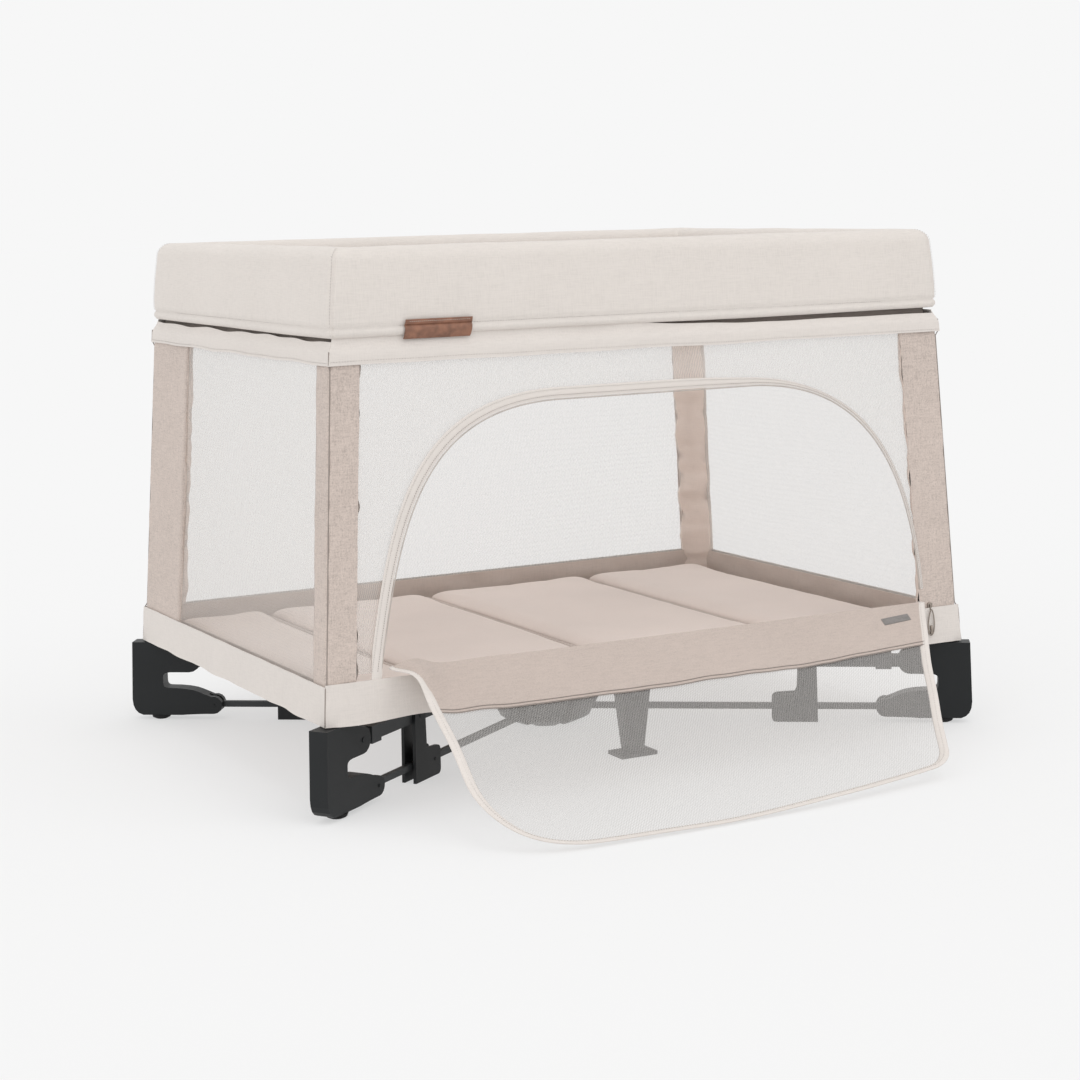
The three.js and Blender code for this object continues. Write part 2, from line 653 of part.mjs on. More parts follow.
for (const [name, turn] of [["front", 0], ["rear", 180]]) {
  add(`side_strut_${name}`, sideStrut().rotate([0, 0, turn]), MATERIAL.steel);
  add(`side_support_${name}`, sideSupport().rotate([0, 0, turn]), MATERIAL.plastic);
}
add("rail_cover", railCover(), MATERIAL.cover);
add("wall_front", frontWall(), MATERIAL.mesh);
add("wall_rear", wall("x", "y", 0), MATERIAL.mesh);
add("wall_left", wall("y", "x", WALL.skin + 1).rotate([0, 0, 90]), MATERIAL.mesh);
add("wall_right", wall("y", "x", WALL.skin + 1).rotate([0, 0, -90]), MATERIAL.mesh);
add("door_flap", doorFlap(), MATERIAL.mesh);
add("floor_base", floorBase(), MATERIAL.base);
add("mattress", mattress(), MATERIAL.mattress);
add("zip_slider", zipSlider(), MATERIAL.zip);
add("zip_pull", zipPull(), MATERIAL.zip);
add("leather_tag", leatherTag(), MATERIAL.leather);

export default playpen;
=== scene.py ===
"""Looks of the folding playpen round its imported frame, in metres: fabric, mesh, padding, trim."""

import math

import bmesh
import bpy
import numpy as np
from mathutils import Matrix, Vector, noise


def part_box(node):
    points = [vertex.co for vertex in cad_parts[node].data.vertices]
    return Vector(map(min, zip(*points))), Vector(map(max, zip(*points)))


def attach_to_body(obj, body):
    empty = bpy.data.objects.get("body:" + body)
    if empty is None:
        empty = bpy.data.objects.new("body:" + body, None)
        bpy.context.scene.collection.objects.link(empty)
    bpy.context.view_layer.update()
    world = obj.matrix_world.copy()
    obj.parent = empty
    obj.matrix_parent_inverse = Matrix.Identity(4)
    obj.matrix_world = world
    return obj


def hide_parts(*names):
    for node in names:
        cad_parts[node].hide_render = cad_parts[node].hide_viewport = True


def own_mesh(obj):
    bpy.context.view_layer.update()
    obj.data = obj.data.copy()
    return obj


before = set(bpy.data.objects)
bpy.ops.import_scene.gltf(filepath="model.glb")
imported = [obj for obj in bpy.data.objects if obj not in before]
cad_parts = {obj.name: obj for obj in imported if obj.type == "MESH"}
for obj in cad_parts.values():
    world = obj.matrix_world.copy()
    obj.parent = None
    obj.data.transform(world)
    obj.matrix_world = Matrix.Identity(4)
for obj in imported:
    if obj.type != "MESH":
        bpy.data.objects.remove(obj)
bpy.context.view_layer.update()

# ---------- places taken from the frame ----------
cover_low, cover_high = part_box("rail_cover")
front_low, front_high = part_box("wall_front")
flap_low, flap_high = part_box("door_flap")
mattress_low, mattress_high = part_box("mattress")
floor_low, floor_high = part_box("floor_base")
tag_low, tag_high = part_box("leather_tag")
slider_low, slider_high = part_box("zip_slider")
pull_low, pull_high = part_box("zip_pull")
post_low, post_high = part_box("corner_post_front_left")
latch_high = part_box("latch_front")[1]
latch_side_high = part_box("latch_left")[1]

HEM = cover_low.z
COVER_TOP = cover_high.z
WALL_FOOT = front_low.z
WALL_TOP = front_high.z
FOOT_HALF = (front_high.x, -front_low.y)
TOP_HALF = (cover_high.x, cover_high.y)
SILL = flap_high.z
FLAP_TIP = (flap_low.y, flap_low.z)
HINGE_Y = -0.3855  # the line that the flap is sewn on
LATCH_HALF = (latch_high.x - 0.008, latch_side_high.y - 0.008)  # the cover parts a little inside the latch
TUBE_RADIUS = 0.009
POST_FOOT = (-post_low.x - TUBE_RADIUS, -post_low.y - TUBE_RADIUS)
POST_HEAD = (-post_high.x + TUBE_RADIUS, -post_high.y + TUBE_RADIUS)

# ---------- sizes of the soft goods ----------
COVER_WIDTH = (0.060, 0.056)  # outside to inside, on the short and the long sides
COVER_DRAW_IN = (0.0092, 0.004)  # the cover's top is this much narrower than its hem, each side
COVER_INNER = [TOP_HALF[k] - COVER_WIDTH[k] for k in (0, 1)]
COVER_BEND = (0.020, 0.018)  # radius over the top, outside and inside
COVER_LIP = 0.005  # radius of the rolled hem
COVER_SPAN = 0.058  # the width that the section's bends are drawn for
COVER_ROWS = 72
CORNER_CUT = (0.045, 0.044)  # a corner piece reaches this far inside the inner corner
COVER_REACH = [COVER_INNER[k] - CORNER_CUT[k] for k in (0, 1)]  # where a corner piece begins
WELT = 0.015  # height of the stitched welt along the hem
STRIP_FOOT = 0.641  # lower edge of the fabric strip above the mesh
BAND_TOP = 0.195  # upper edge of the fabric band below the mesh
BORDER = 0.016  # width of the arch's border
SLEEVE = {  # how far a sleeve reaches along the long and the short wall
    "front_left": (0.046, 0.046),
    "front_right": (0.074, 0.060),
    "rear_left": (0.070, 0.166),
    "rear_right": (0.044, 0.044),
}
CLOTH = {  # thickness of each cloth
    "cover": 0.0016,
    "strip": 0.0012,
    "band": 0.0014,
    "tape": 0.0010,
    "flap_strip": 0.0014,
    "vent": 0.0008,
    "floor": 0.002,
    "leather": 0.0020,
}
MESH_INSET = 0.0015  # behind the wall's outer face
NET_FOOT, NET_HEAD = BAND_TOP - 0.008, STRIP_FOOT + 0.012  # the mesh is tucked behind band and strip
SHADE_SHEET_FOOT, SHADE_SHEET_HEAD = 0.652, HEM + 0.022  # the dark sheet behind the strip: painted shade in the gap under the hem
MESH_MIDDLE = 0.4  # height at which the width of a mesh wall is taken
SIDES = ("front", "rear", "left", "right")
AXIS = {"front": 0, "rear": 0, "left": 1, "right": 1}
WAY = {"front": -1, "rear": 1, "left": -1, "right": 1}
CORNERS = {
    "front_left": (-1, -1),
    "front_right": (1, -1),
    "rear_left": (-1, 1),
    "rear_right": (1, 1),
}


def mix(a, b, t):
    return a + (b - a) * t


def smooth(t):
    t = min(max(t, 0.0), 1.0)
    return t * t * (3 - 2 * t)


def ripple(x, y, z, scale):
    """Smooth noise between about -1 and 1 at a place, scale in cycles per metre."""
    return noise.noise(Vector((x, y, z)) * scale)


def wall_half(z):
    share = (z - WALL_FOOT) / (WALL_TOP - WALL_FOOT)
    return mix(FOOT_HALF[0], TOP_HALF[0], share), mix(FOOT_HALF[1], TOP_HALF[1], share)


def beside(side, along, across, z=0.0):
    """A point at a distance along a side and across it, outwards being the side's own way."""
    return Vector((along, across, z) if AXIS[side] == 0 else (across, along, z))


def on_wall(side, along, z, out=0.0):
    """A point on a wall's outer face; along is in metres from the wall's middle."""
    return beside(side, along, WAY[side] * (wall_half(z)[1 - AXIS[side]] + out), z)


# ---------- node materials ----------
class Finish:
    """A node material that is built up step by step."""

    def __init__(self, name, roughness, metallic=0.0):
        self.material = bpy.data.materials.new(name)
        self.material.use_nodes = True
        self.tree = self.material.node_tree
        self.shader = self.tree.nodes["Principled BSDF"]
        self.shader.inputs["Roughness"].default_value = roughness
        self.shader.inputs["Metallic"].default_value = metallic
        self.place = self.tree.nodes.new("ShaderNodeTexCoord").outputs["Object"]

    def node(self, kind, **inputs):
        made = self.tree.nodes.new(kind)
        for key, value in inputs.items():
            socket = made.inputs[key.replace("_", " ")]
            if isinstance(value, bpy.types.NodeSocket):
                self.tree.links.new(value, socket)
            else:
                socket.default_value = value
        return made

    def stretched(self, scale):
        """The place, scaled differently along each axis."""
        made = self.node("ShaderNodeMapping", Vector=self.place)
        made.inputs["Scale"].default_value = scale
        return made.outputs["Vector"]

    def grain(self, scale, detail=2.0, rough=0.5):
        stretched = self.stretched(scale if isinstance(scale, tuple) else (scale,) * 3)
        made = self.node("ShaderNodeTexNoise", Vector=stretched, Scale=1.0, Detail=detail, Roughness=rough)
        return made.outputs["Fac"]

    def wave(self, scale, distortion=0.0):
        """Bands along a direction; scale holds radians per metre along each axis."""
        dot = self.node("ShaderNodeVectorMath", Vector=self.place)
        dot.operation = "DOT_PRODUCT"
        dot.inputs[1].default_value = scale
        if distortion:
            shift = self.math("MULTIPLY", self.grain(60.0), distortion)
            return self.math("SINE", self.math("ADD", dot.outputs["Value"], shift))
        return self.math("SINE", dot.outputs["Value"])

    def math(self, operation, a, b=0.0, clamp=False):
        made = self.tree.nodes.new("ShaderNodeMath")
        made.operation = operation
        made.use_clamp = clamp
        for socket, value in zip(made.inputs, (a, b)):
            if isinstance(value, bpy.types.NodeSocket):
                self.tree.links.new(value, socket)
            else:
                socket.default_value = value
        return made.outputs["Value"]

    def weigh(self, a, share_a, b, share_b):
        """Two values, each times its share, added up."""
        return self.math("ADD", self.math("MULTIPLY", a, share_a), self.math("MULTIPLY", b, share_b))

    def ramp(self, factor, stops):
        made = self.node("ShaderNodeValToRGB", Fac=factor)
        ramp = made.color_ramp
        ramp.elements[0].position, ramp.elements[1].position = stops[0][0], stops[-1][0]
        ramp.elements[0].color = (*stops[0][1], 1)
        ramp.elements[1].color = (*stops[-1][1], 1)
        for position, color in stops[1:-1]:
            ramp.elements.new(position).color = (*color, 1)
        return made.outputs["Color"]

    def color(self, socket):
        self.tree.links.new(socket, self.shader.inputs["Base Color"])

    def tint(self, factor, color, dark, light):
        """Colours the face between a darker and a lighter shade of one colour."""
        self.color(self.ramp(factor, [(0.3, shade(color, dark)), (0.7, shade(color, light))]))

    def roughness(self, factor, spread, least):
        """Roughness that rises with a pattern from its least value."""
        value = self.math("ADD", self.math("MULTIPLY", factor, spread), least)
        self.tree.links.new(value, self.shader.inputs["Roughness"])

    def bump(self, height, strength, distance):
        made = self.node("ShaderNodeBump", Height=height, Strength=strength, Distance=distance)
        if self.shader.inputs["Normal"].is_linked:
            before = self.shader.inputs["Normal"].links[0].from_socket
            self.tree.links.new(before, made.inputs["Normal"])
        self.tree.links.new(made.outputs["Normal"], self.shader.inputs["Normal"])

    def sheen(self, weight, roughness=0.5):
        self.shader.inputs["Sheen Weight"].default_value = weight
        self.shader.inputs["Sheen Roughness"].default_value = roughness


def shade(color, factor):
    return tuple(min(c * factor, 1.0) for c in color)


def woven(name, color, contrast, thread=0.0011, heather=0.0, rough=0.9, weave=0.35):
    """Plain-woven cloth: crossing threads with slubs, and tufts of darker fibre where it is heathered."""
    f = Finish(name, rough)
    fine, long = 0.62 / thread, 55.0
    slubs = f.math("ADD", f.grain((long, long, fine)), f.grain((fine, fine, long)))
    tone = f.math("MULTIPLY", slubs, 0.5)
    cloud = f.grain(6.0, 3.0)
    tone = f.weigh(tone, 0.8, cloud, 0.2)
    if heather:
        flecks = f.grain(420.0, 3.0, 0.7)
        tone = f.weigh(tone, 1 - heather, flecks, heather)
    f.color(f.ramp(tone, [
        (0.34, shade(color, 1 - contrast)),
        (0.5, color),
        (0.66, shade(color, 1 + contrast * 0.6)),
    ]))
    turns = 2 * math.pi / (2 * thread)
    across = f.math("MULTIPLY", f.wave((turns, turns, 0.0)), f.wave((0.0, 0.0, turns)))
    f.bump(across, weave, 0.0002)
    f.bump(slubs, 0.45, 0.0004)
    f.roughness(slubs, 0.12, rough - 0.12)
    f.sheen(0.12)
    return f.material


def twill(name, color):
    """Fine diagonal twill with a soft, slightly mottled face."""
    f = Finish(name, 0.92)
    turns = 2 * math.pi / 0.0026
    ribs = f.wave((turns, turns * 0.8, turns * 0.6), 1.4)
    cloud = f.grain(5.0, 3.0)
    fibre = f.grain(700.0, 2.0)
    tone = f.weigh(ribs, 0.06, fibre, 0.45)
    tone = f.math("ADD", tone, f.math("MULTIPLY", cloud, 0.5))
    f.color(f.ramp(tone, [(0.3, shade(color, 0.93)), (0.48, color), (0.68, shade(color, 1.05))]))
    f.bump(ribs, 0.35, 0.0003)
    f.bump(fibre, 0.3, 0.0003)
    f.sheen(0.15)
    return f.material


def net(name, color, sight, depth, pitch):
    """Knitted see-through mesh: a lattice of diagonal rows with open eyes between them."""
    f = Finish(name, 0.85)
    turns = 2 * math.pi / pitch
    first = f.wave((turns, turns, turns * 0.12), 0.5)
    second = f.wave((turns, -turns, turns * 0.35), 0.5)
    lattice = f.weigh(first, 0.62, second, 0.38)
    alpha = f.math("ADD", f.math("MULTIPLY", lattice, depth), sight, clamp=True)
    f.tree.links.new(alpha, f.shader.inputs["Alpha"])
    yarn = f.grain(300.0, 2.0)
    f.tint(yarn, color, 0.95, 1.03)
    f.bump(lattice, 0.4, 0.0004)
    return f.material


def leather(name, color):
    f = Finish(name, 0.55)
    pores = f.node("ShaderNodeTexVoronoi", Vector=f.place, Scale=900.0).outputs["Distance"]
    cloud = f.grain(90.0, 4.0)
    f.color(f.ramp(cloud, [(0.3, shade(color, 0.72)), (0.5, color), (0.72, shade(color, 1.35))]))
    f.bump(pores, 0.5, 0.0003)
    f.bump(cloud, 0.3, 0.0006)
    f.roughness(cloud, 0.3, 0.42)
    return f.material


def moulded(name, color, rough, texture=520.0):
    """Moulded plastic with a fine spark-eroded grain and slightly polished high spots."""
    f = Finish(name, rough)
    grain = f.grain(texture, 3.0, 0.6)
    cloud = f.grain(14.0, 2.0)
    f.tint(cloud, color, 0.9, 1.12)
    f.shader.inputs["Specular IOR Level"].default_value = 0.28
    f.bump(grain, 0.22, 0.00025)
    f.roughness(cloud, 0.16, rough - 0.08)
    return f.material


def metal(name, color, rough, along=(40.0, 40.0, 40.0), metallic=1.0):
    f = Finish(name, rough, metallic)
    streaks = f.grain(along, 3.0, 0.6)
    f.tint(streaks, color, 0.85, 1.1)
    f.bump(streaks, 0.12, 0.0002)
    f.roughness(streaks, 0.2, rough - 0.1)
    return f.material


def coated(name, color, rough):
    """Powder coat: an even orange-peel surface."""
    f = Finish(name, rough)
    peel = f.node("ShaderNodeTexVoronoi", Vector=f.place, Scale=650.0).outputs["Distance"]
    cloud = f.grain(20.0, 2.0)
    f.tint(cloud, color, 0.88, 1.15)
    f.shader.inputs["Specular IOR Level"].default_value = 0.32
    f.bump(peel, 0.25, 0.0002)
    f.roughness(cloud, 0.15, rough - 0.07)
    return f.material


CREAM = (0.700, 0.650, 0.610)
LINEN = (0.705, 0.655, 0.612)
TAUPE = (0.565, 0.480, 0.430)
SAND = (0.535, 0.452, 0.405)
MAT_BEIGE = (0.740, 0.635, 0.578)
NET = (0.700, 0.672, 0.645)
CHARCOAL = (0.0110, 0.0125, 0.0135)

LOOKS = {
    "cover": woven("cover_linen", LINEN, 0.07, thread=0.0010),
    "strip": woven("strip_cloth", CREAM, 0.06),
    "band": woven("band_cloth", CREAM, 0.07, heather=0.2),
    "sleeve": woven("sleeve_heather", TAUPE, 0.34, heather=0.5),
    "inner_band": woven("inner_band_cloth", TAUPE, 0.08),
    # the sleeve's cloth made lighter for its inner faces: painted light where they stand in shade
    "lit_inner_sleeve": woven("sleeve_painted_light", shade(TAUPE, 1.35), 0.06, thread=0.0007),
    "sill": woven("sill_heather", SAND, 0.16, heather=0.4),
    "border": woven("border_tape", shade(CREAM, 1.04), 0.05, thread=0.0008),
    # dark taupe for seams and stitch rows, also used for the sheet that paints the shade under the hem
    "seam": woven("dark_thread_and_painted_shade", shade(TAUPE, 0.5), 0.1, thread=0.0006),
    "thread": woven("pale_thread", shade(CREAM, 0.72), 0.1, thread=0.0006),
    "vent": woven("vent_mesh", (0.230, 0.215, 0.205), 0.25, thread=0.0014),
    "floor_cloth": woven("floor_cloth", SAND, 0.1),
    "net": net("wall_net", NET, 0.33, 0.05, 0.0030),
    "flap_net": net("flap_net", shade(NET, 0.88), 0.37, 0.15, 0.0042),
    "mattress": twill("mattress_twill", MAT_BEIGE),
    "leather": leather("tag_leather", (0.235, 0.110, 0.068)),
    "plastic": moulded("frame_plastic", CHARCOAL, 0.46),
    "button": moulded("button_plastic", (0.24, 0.245, 0.25), 0.42),
    "rubber": moulded("foot_rubber", (0.012, 0.012, 0.013), 0.85, 900.0),
    "steel": coated("link_steel", (0.030, 0.033, 0.035), 0.42),
    "tube": metal("frame_tube", (0.62, 0.63, 0.65), 0.32, (300.0, 300.0, 12.0)),
    "zip": metal("zip_metal", (0.36, 0.31, 0.27), 0.34),
    "teeth": metal("zip_teeth", (0.52, 0.47, 0.43), 0.6, metallic=0.0),
}


# ---------- mesh helpers ----------
def mesh_piece(name, points, faces, look):
    mesh = bpy.data.meshes.new(name)
    mesh.from_pydata([tuple(p) for p in points], [], faces)
    mesh.validate()
    mesh.polygons.foreach_set("use_smooth", [True] * len(mesh.polygons))
    mesh.materials.append(LOOKS[look])
    piece = bpy.data.objects.new(name, mesh)
    bpy.context.scene.collection.objects.link(piece)
    return piece


def grid_faces(columns, rows, closed=False):
    """Quads over a grid of points that is stored row after row; closed joins each row's two ends."""
    faces = []
    for j in range(rows - 1):
        for i in range(columns if closed else columns - 1):
            a = j * columns + i
            b = j * columns + (i + 1) % columns
            faces.append((a, b, b + columns, a + columns))
    return faces


def surface(name, point, columns, rows, look, closed=False):
    """A sheet or tube through point(u, v), with u and v from 0 to 1."""
    width = columns if closed else columns - 1
    points = [point(i / width, j / (rows - 1)) for j in range(rows) for i in range(columns)]
    return mesh_piece(name, points, grid_faces(columns, rows, closed=closed), look)


def thicken(piece, thickness, offset=0.0):
    """Gives a sheet its thickness, with a crisp rim that leaves the shading of its face alone."""
    shell = bmesh.new()
    shell.from_mesh(piece.data)
    bmesh.ops.recalc_face_normals(shell, faces=shell.faces)
    for edge in shell.edges:
        edge.smooth = not edge.is_boundary
    shell.to_mesh(piece.data)
    shell.free()
    made = piece.modifiers.new("thickness", "SOLIDIFY")
    made.thickness = thickness
    made.offset = offset
    return piece


def rope(name, route, radius, look, sides=6, flat=1.0, up=Vector((0, 0, 1))):
    """A tube along a route; flat squeezes its section along up."""
    points = []
    route = [Vector(p) for p in route]
    for k, place in enumerate(route):
        ahead = (route[min(k + 1, len(route) - 1)] - route[max(k - 1, 0)]).normalized()
        side = ahead.cross(up).normalized()
        rise = side.cross(ahead).normalized()
        for n in range(sides):
            turn = 2 * math.pi * n / sides
            points.append(place + side * math.cos(turn) * radius + rise * math.sin(turn) * radius * flat)
    faces = grid_faces(sides, len(route), closed=True)
    last = (len(route) - 1) * sides
    faces += [tuple(range(sides - 1, -1, -1)), tuple(last + n for n in range(sides))]
    return mesh_piece(name, points, faces, look)


def travelled(line):
    """How far along a line each of its points lies."""
    distances = [0.0]
    for a, b in zip(line, line[1:]):
        distances.append(distances[-1] + (b - a).length)
    return distances


def stitches(name, route, look, pitch=0.0042, length=0.0030, radius=0.00045):
    """A row of short thread stitches along a route."""
    route = [Vector(p) for p in route]
    distances = travelled(route)
    points, faces = [], []
    k = 0
    place = pitch / 2
    while place + length < distances[-1]:
        while distances[k + 1] < place:
            k += 1
        ahead = (route[k + 1] - route[k]).normalized()
        start = route[k] + ahead * (place - distances[k])
        end = start + ahead * length
        side = ahead.orthogonal().normalized()
        rise = side.cross(ahead)
        base = len(points)
        middle = (start + end) / 2
        ring = [middle + way * radius for way in (side, rise, -side, -rise)]
        points += [start, *ring, end]
        for n in range(4):
            a, b = base + 1 + n, base + 1 + (n + 1) % 4
            faces += [(base, b, a), (base + 5, a, b)]
        place += pitch
    return mesh_piece(name, points, faces, look)


def attach(piece, body):
    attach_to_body(piece, body)


def crumple(piece, body, axis, corner):
    """Rides on a corner's body, with a mesh of its own."""
    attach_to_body(piece, body)
    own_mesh(piece)


WALL_RIDES = {
    "front": ("corner_front_left", (1, 0, 0), "front_left"),
    "rear": ("corner_rear_left", (1, 0, 0), "rear_left"),
    "left": ("corner_front_left", (0, 1, 0), "front_left"),
    "right": ("corner_front_right", (0, 1, 0), "front_right"),
}


def hang(piece, side):
    """Makes a piece of a wall ride on the body of that wall's corner."""
    crumple(piece, *WALL_RIDES[side])
    return piece


# ---------- camera, light and floor ----------
CAMERA_PLACE = (-1.772, -3.287, 0.871)
CAMERA_TURN = (-28.29, 8.63, -1.21)  # yaw, pitch and roll in degrees
CAMERA_LENS = 75.9


def place_camera():
    yaw, pitch, roll = (math.radians(turn) for turn in CAMERA_TURN)
    back = Vector((math.sin(yaw) * math.cos(pitch), -math.cos(yaw) * math.cos(pitch), math.sin(pitch)))
    right = Vector((math.cos(yaw), math.sin(yaw), 0))
    up = back.cross(right)
    turned_right = right * math.cos(roll) + up * math.sin(roll)
    turned_up = up * math.cos(roll) - right * math.sin(roll)
    turned = (turned_right, turned_up, back)
    data = bpy.data.cameras.new("camera")
    data.lens = CAMERA_LENS
    camera = bpy.data.objects.new("camera", data)
    camera.matrix_world = Matrix.Translation(CAMERA_PLACE) @ Matrix(turned).transposed().to_4x4()
    bpy.context.scene.collection.objects.link(camera)
    bpy.context.scene.camera = camera


def place_lights():
    world = bpy.data.worlds.new("studio")
    world.use_nodes = True
    world.node_tree.nodes["Background"].inputs["Color"].default_value = (1.0, 1.0, 1.0, 1)
    world.node_tree.nodes["Background"].inputs["Strength"].default_value = 0.93
    bpy.context.scene.world = world
    bpy.context.scene.view_settings.view_transform = "Standard"
    for name, energy, angle, direction in (
        ("key", 0.48, 50, (-0.30, 0.55, -1.0)),
        ("fill", 0.42, 60, (0.85, 0.45, -0.40)),
    ):
        sun = bpy.data.lights.new(name, "SUN")
        sun.energy = energy
        sun.angle = math.radians(angle)
        lamp = bpy.data.objects.new(name, sun)
        lamp.rotation_euler = Vector(direction).to_track_quat("-Z", "Y").to_euler()
        bpy.context.scene.collection.objects.link(lamp)


def place_floor():
    reach = 40.0
    mesh = bpy.data.meshes.new("studio_floor")
    corners = [(-reach, -reach, 0), (reach, -reach, 0), (reach, reach, 0), (-reach, reach, 0)]
    mesh.from_pydata(corners, [], [(0, 1, 2, 3)])
    pale = Finish("studio_floor", 1.0)
    pale.shader.inputs["Base Color"].default_value = (0.36, 0.36, 0.36, 1)
    pale.shader.inputs["Emission Color"].default_value = (1.0, 1.0, 1.0, 1)
    pale.shader.inputs["Emission Strength"].default_value = 0.530
    pale.shader.inputs["Specular IOR Level"].default_value = 0.0
    mesh.materials.append(pale.material)
    floor = bpy.data.objects.new("studio_floor", mesh)
    bpy.context.scene.collection.objects.link(floor)


# ---------- rail cover ----------
def cover_section(s):
    """The cover's section at s, from the outer hem (0) over the top to the inner hem (1):
    the share of the width inwards, and the height."""
    outer_turn, inner_turn = COVER_BEND
    rise = COVER_TOP - outer_turn - HEM - COVER_LIP
    fall = COVER_TOP - inner_turn - HEM - COVER_LIP
    lengths = [
        ("lip", 0.012),
        ("outer", rise),
        ("over", outer_turn * 1.5),
        ("top", COVER_SPAN - outer_turn - inner_turn),
        ("back", inner_turn * 1.5),
        ("inner", fall),
        ("inner_lip", 0.012),
    ]
    travel = s * sum(length for _, length in lengths)
    for part, length in lengths:
        if travel <= length or part == "inner_lip":
            break
        travel -= length
    t = min(travel / length, 1.0)
    quarter = t * math.pi / 2
    if part in ("lip", "inner_lip"):
        turn = math.pi * (1 - t if part == "lip" else t)
        share = COVER_LIP * (1 - math.cos(turn)) / COVER_SPAN * 0.9
        return share if part == "lip" else 1 - share, HEM + COVER_LIP - COVER_LIP * math.sin(turn)
    if part == "outer":
        return 0.0, HEM + COVER_LIP + t * rise
    if part == "over":
        share = outer_turn * (1 - math.cos(quarter)) / COVER_SPAN
        return share, COVER_TOP - outer_turn * (1 - math.sin(quarter))
    if part == "top":
        return mix(outer_turn / COVER_SPAN, 1 - inner_turn / COVER_SPAN, t), COVER_TOP
    if part == "back":
        share = 1 - inner_turn * (1 - math.sin(quarter)) / COVER_SPAN
        return share, COVER_TOP - inner_turn * (1 - math.cos(quarter))
    return 1.0, COVER_TOP - inner_turn - t * fall


def padding(z, share):
    """How far the padded cover stands out: full between its seams, drawn in along the welt's stitching."""
    height = (z - HEM) / (COVER_TOP - HEM)
    puff = 0.0035 * math.sin(math.pi * min(max(height, 0), 1)) ** 0.7
    stitched = -0.0028 * math.exp(-(((z - HEM - WELT) / 0.0022) ** 2))
    welt = 0.0016 * math.exp(-(((z - HEM - WELT * 0.5) / 0.005) ** 2))
    return (puff + stitched + welt) * (1 - smooth(share * 1.6) * 0.6)


def cover_crease(x, y, z):
    return 0.0011 * ripple(x, y, z * 0.6, 14.0) + 0.0005 * ripple(x, y, z, 45.0)


def cover_gather(x, y, z):
    return 0.0007 * ripple(x * 7, y * 7, z * 1.2, 12.0)


def cover_point(outer, inner, out, section, seam=0.0):
    """One point of the cover, from a place on its outer line, the inner line and its section."""
    share, z = section
    place = outer.lerp(inner, share)
    puff = padding(z, share)
    side = 1 - 2 * share
    crease = cover_crease(place.x, place.y, z)
    pull = cover_gather(place.x, place.y, z) * math.exp(-abs(z - HEM - WELT) / 0.02)
    moved = place + out * ((puff + crease + pull) * (1 if side > 0 else -1) * min(abs(side) * 3, 1))
    top = 0.0012 * (ripple(place.x, place.y, 0.0, 11.0) - 0.2) * math.sin(math.pi * min(max(share, 0), 1))
    sag = 0.002 * ripple(place.x, place.y, 3.0, 3.0) if z < HEM + 0.03 else 0.0
    return Vector((moved.x, moved.y, z + top + sag * (1 - smooth((z - HEM) / 0.03)))) + out * seam


def cover_lines(z):
    """Half sizes of the cover's outer face at a height, and of its inner face."""
    lean = smooth((z - HEM) / (COVER_TOP - HEM))
    outer = [TOP_HALF[k] - COVER_DRAW_IN[k] * lean for k in (0, 1)]
    return outer, COVER_INNER


def straight_cover(name, side, start, end, columns):
    """A straight stretch of the cover between two places along one side."""
    across, way = 1 - AXIS[side], WAY[side]

    def point(u, v):
        along = mix(start, end, u)
        section = cover_section(v)
        outer, inner = (beside(side, along, way * half[across]) for half in cover_lines(section[1]))
        return cover_point(outer, inner, beside(side, 0, way), section)

    return surface(name, point, columns, COVER_ROWS, "cover")


def corner_cover(name, corner):
    """The cover round one corner, with its upright seam down the edge."""
    sign_x, sign_y = CORNERS[corner]
    radius, inner_radius, arc = 0.0095, 0.006, 14
    lead = [0.0, 0.2, 0.4, 0.6, 0.8]
    middle_x = TOP_HALF[0] - COVER_WIDTH[0] / 2
    stations = [("x", t) for t in lead]
    stations += [("arc", n / arc) for n in range(arc + 1)]
    stations += [("y", t) for t in lead[::-1]]

    def line(half, round_radius, station):
        kind, t = station
        if kind == "x":
            return mix(COVER_REACH[0], half[0] - round_radius, t), half[1]
        if kind == "y":
            return half[0], mix(COVER_REACH[1], half[1] - round_radius, t)
        turn = (1 - t) * math.pi / 2
        return (
            half[0] - round_radius + round_radius * math.cos(turn),
            half[1] - round_radius + round_radius * math.sin(turn),
        )

    def point(u, v):
        station = stations[round(u * (len(stations) - 1))]
        section = cover_section(v)
        outer_half, inner_half = cover_lines(section[1])
        a = line(outer_half, radius, station)
        b = line(inner_half, inner_radius, station)
        outer = Vector((sign_x * a[0], sign_y * a[1], 0))
        inner = Vector((sign_x * b[0], sign_y * b[1], 0))
        kind, t = station
        turn = {"x": math.pi / 2, "y": 0.0}.get(kind, (1 - t) * math.pi / 2)
        out = Vector((sign_x * math.cos(turn), sign_y * math.sin(turn), 0))
        seam = 0.0
        if kind == "arc" and section[0] < 0.5:
            seam = 0.0022 * math.exp(-(((t - 0.5) / 0.07) ** 2))
            seam -= 0.0012 * math.exp(-(((t - 0.32) / 0.06) ** 2))
        return cover_point(outer, inner, out, section, seam)

    piece = surface(name, point, len(stations), COVER_ROWS, "cover")
    edge = []
    for j in range(COVER_ROWS):
        place = piece.data.vertices[j * len(stations) + len(lead) + arc // 2].co
        if j > 4 and place.z > HEM + 0.012 and abs(place.x) > middle_x:
            edge.append(place + Vector((sign_x, sign_y, 0)).normalized() * 0.0012)
    row = stitches(name + "_seam", edge, "thread")
    attach(row, f"corner_{corner}")
    return piece


def flatten(piece, body, side):
    """Rides on a rail's body; given a side, it also gets a mesh of its own."""
    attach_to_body(piece, body)
    if side:
        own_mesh(piece)


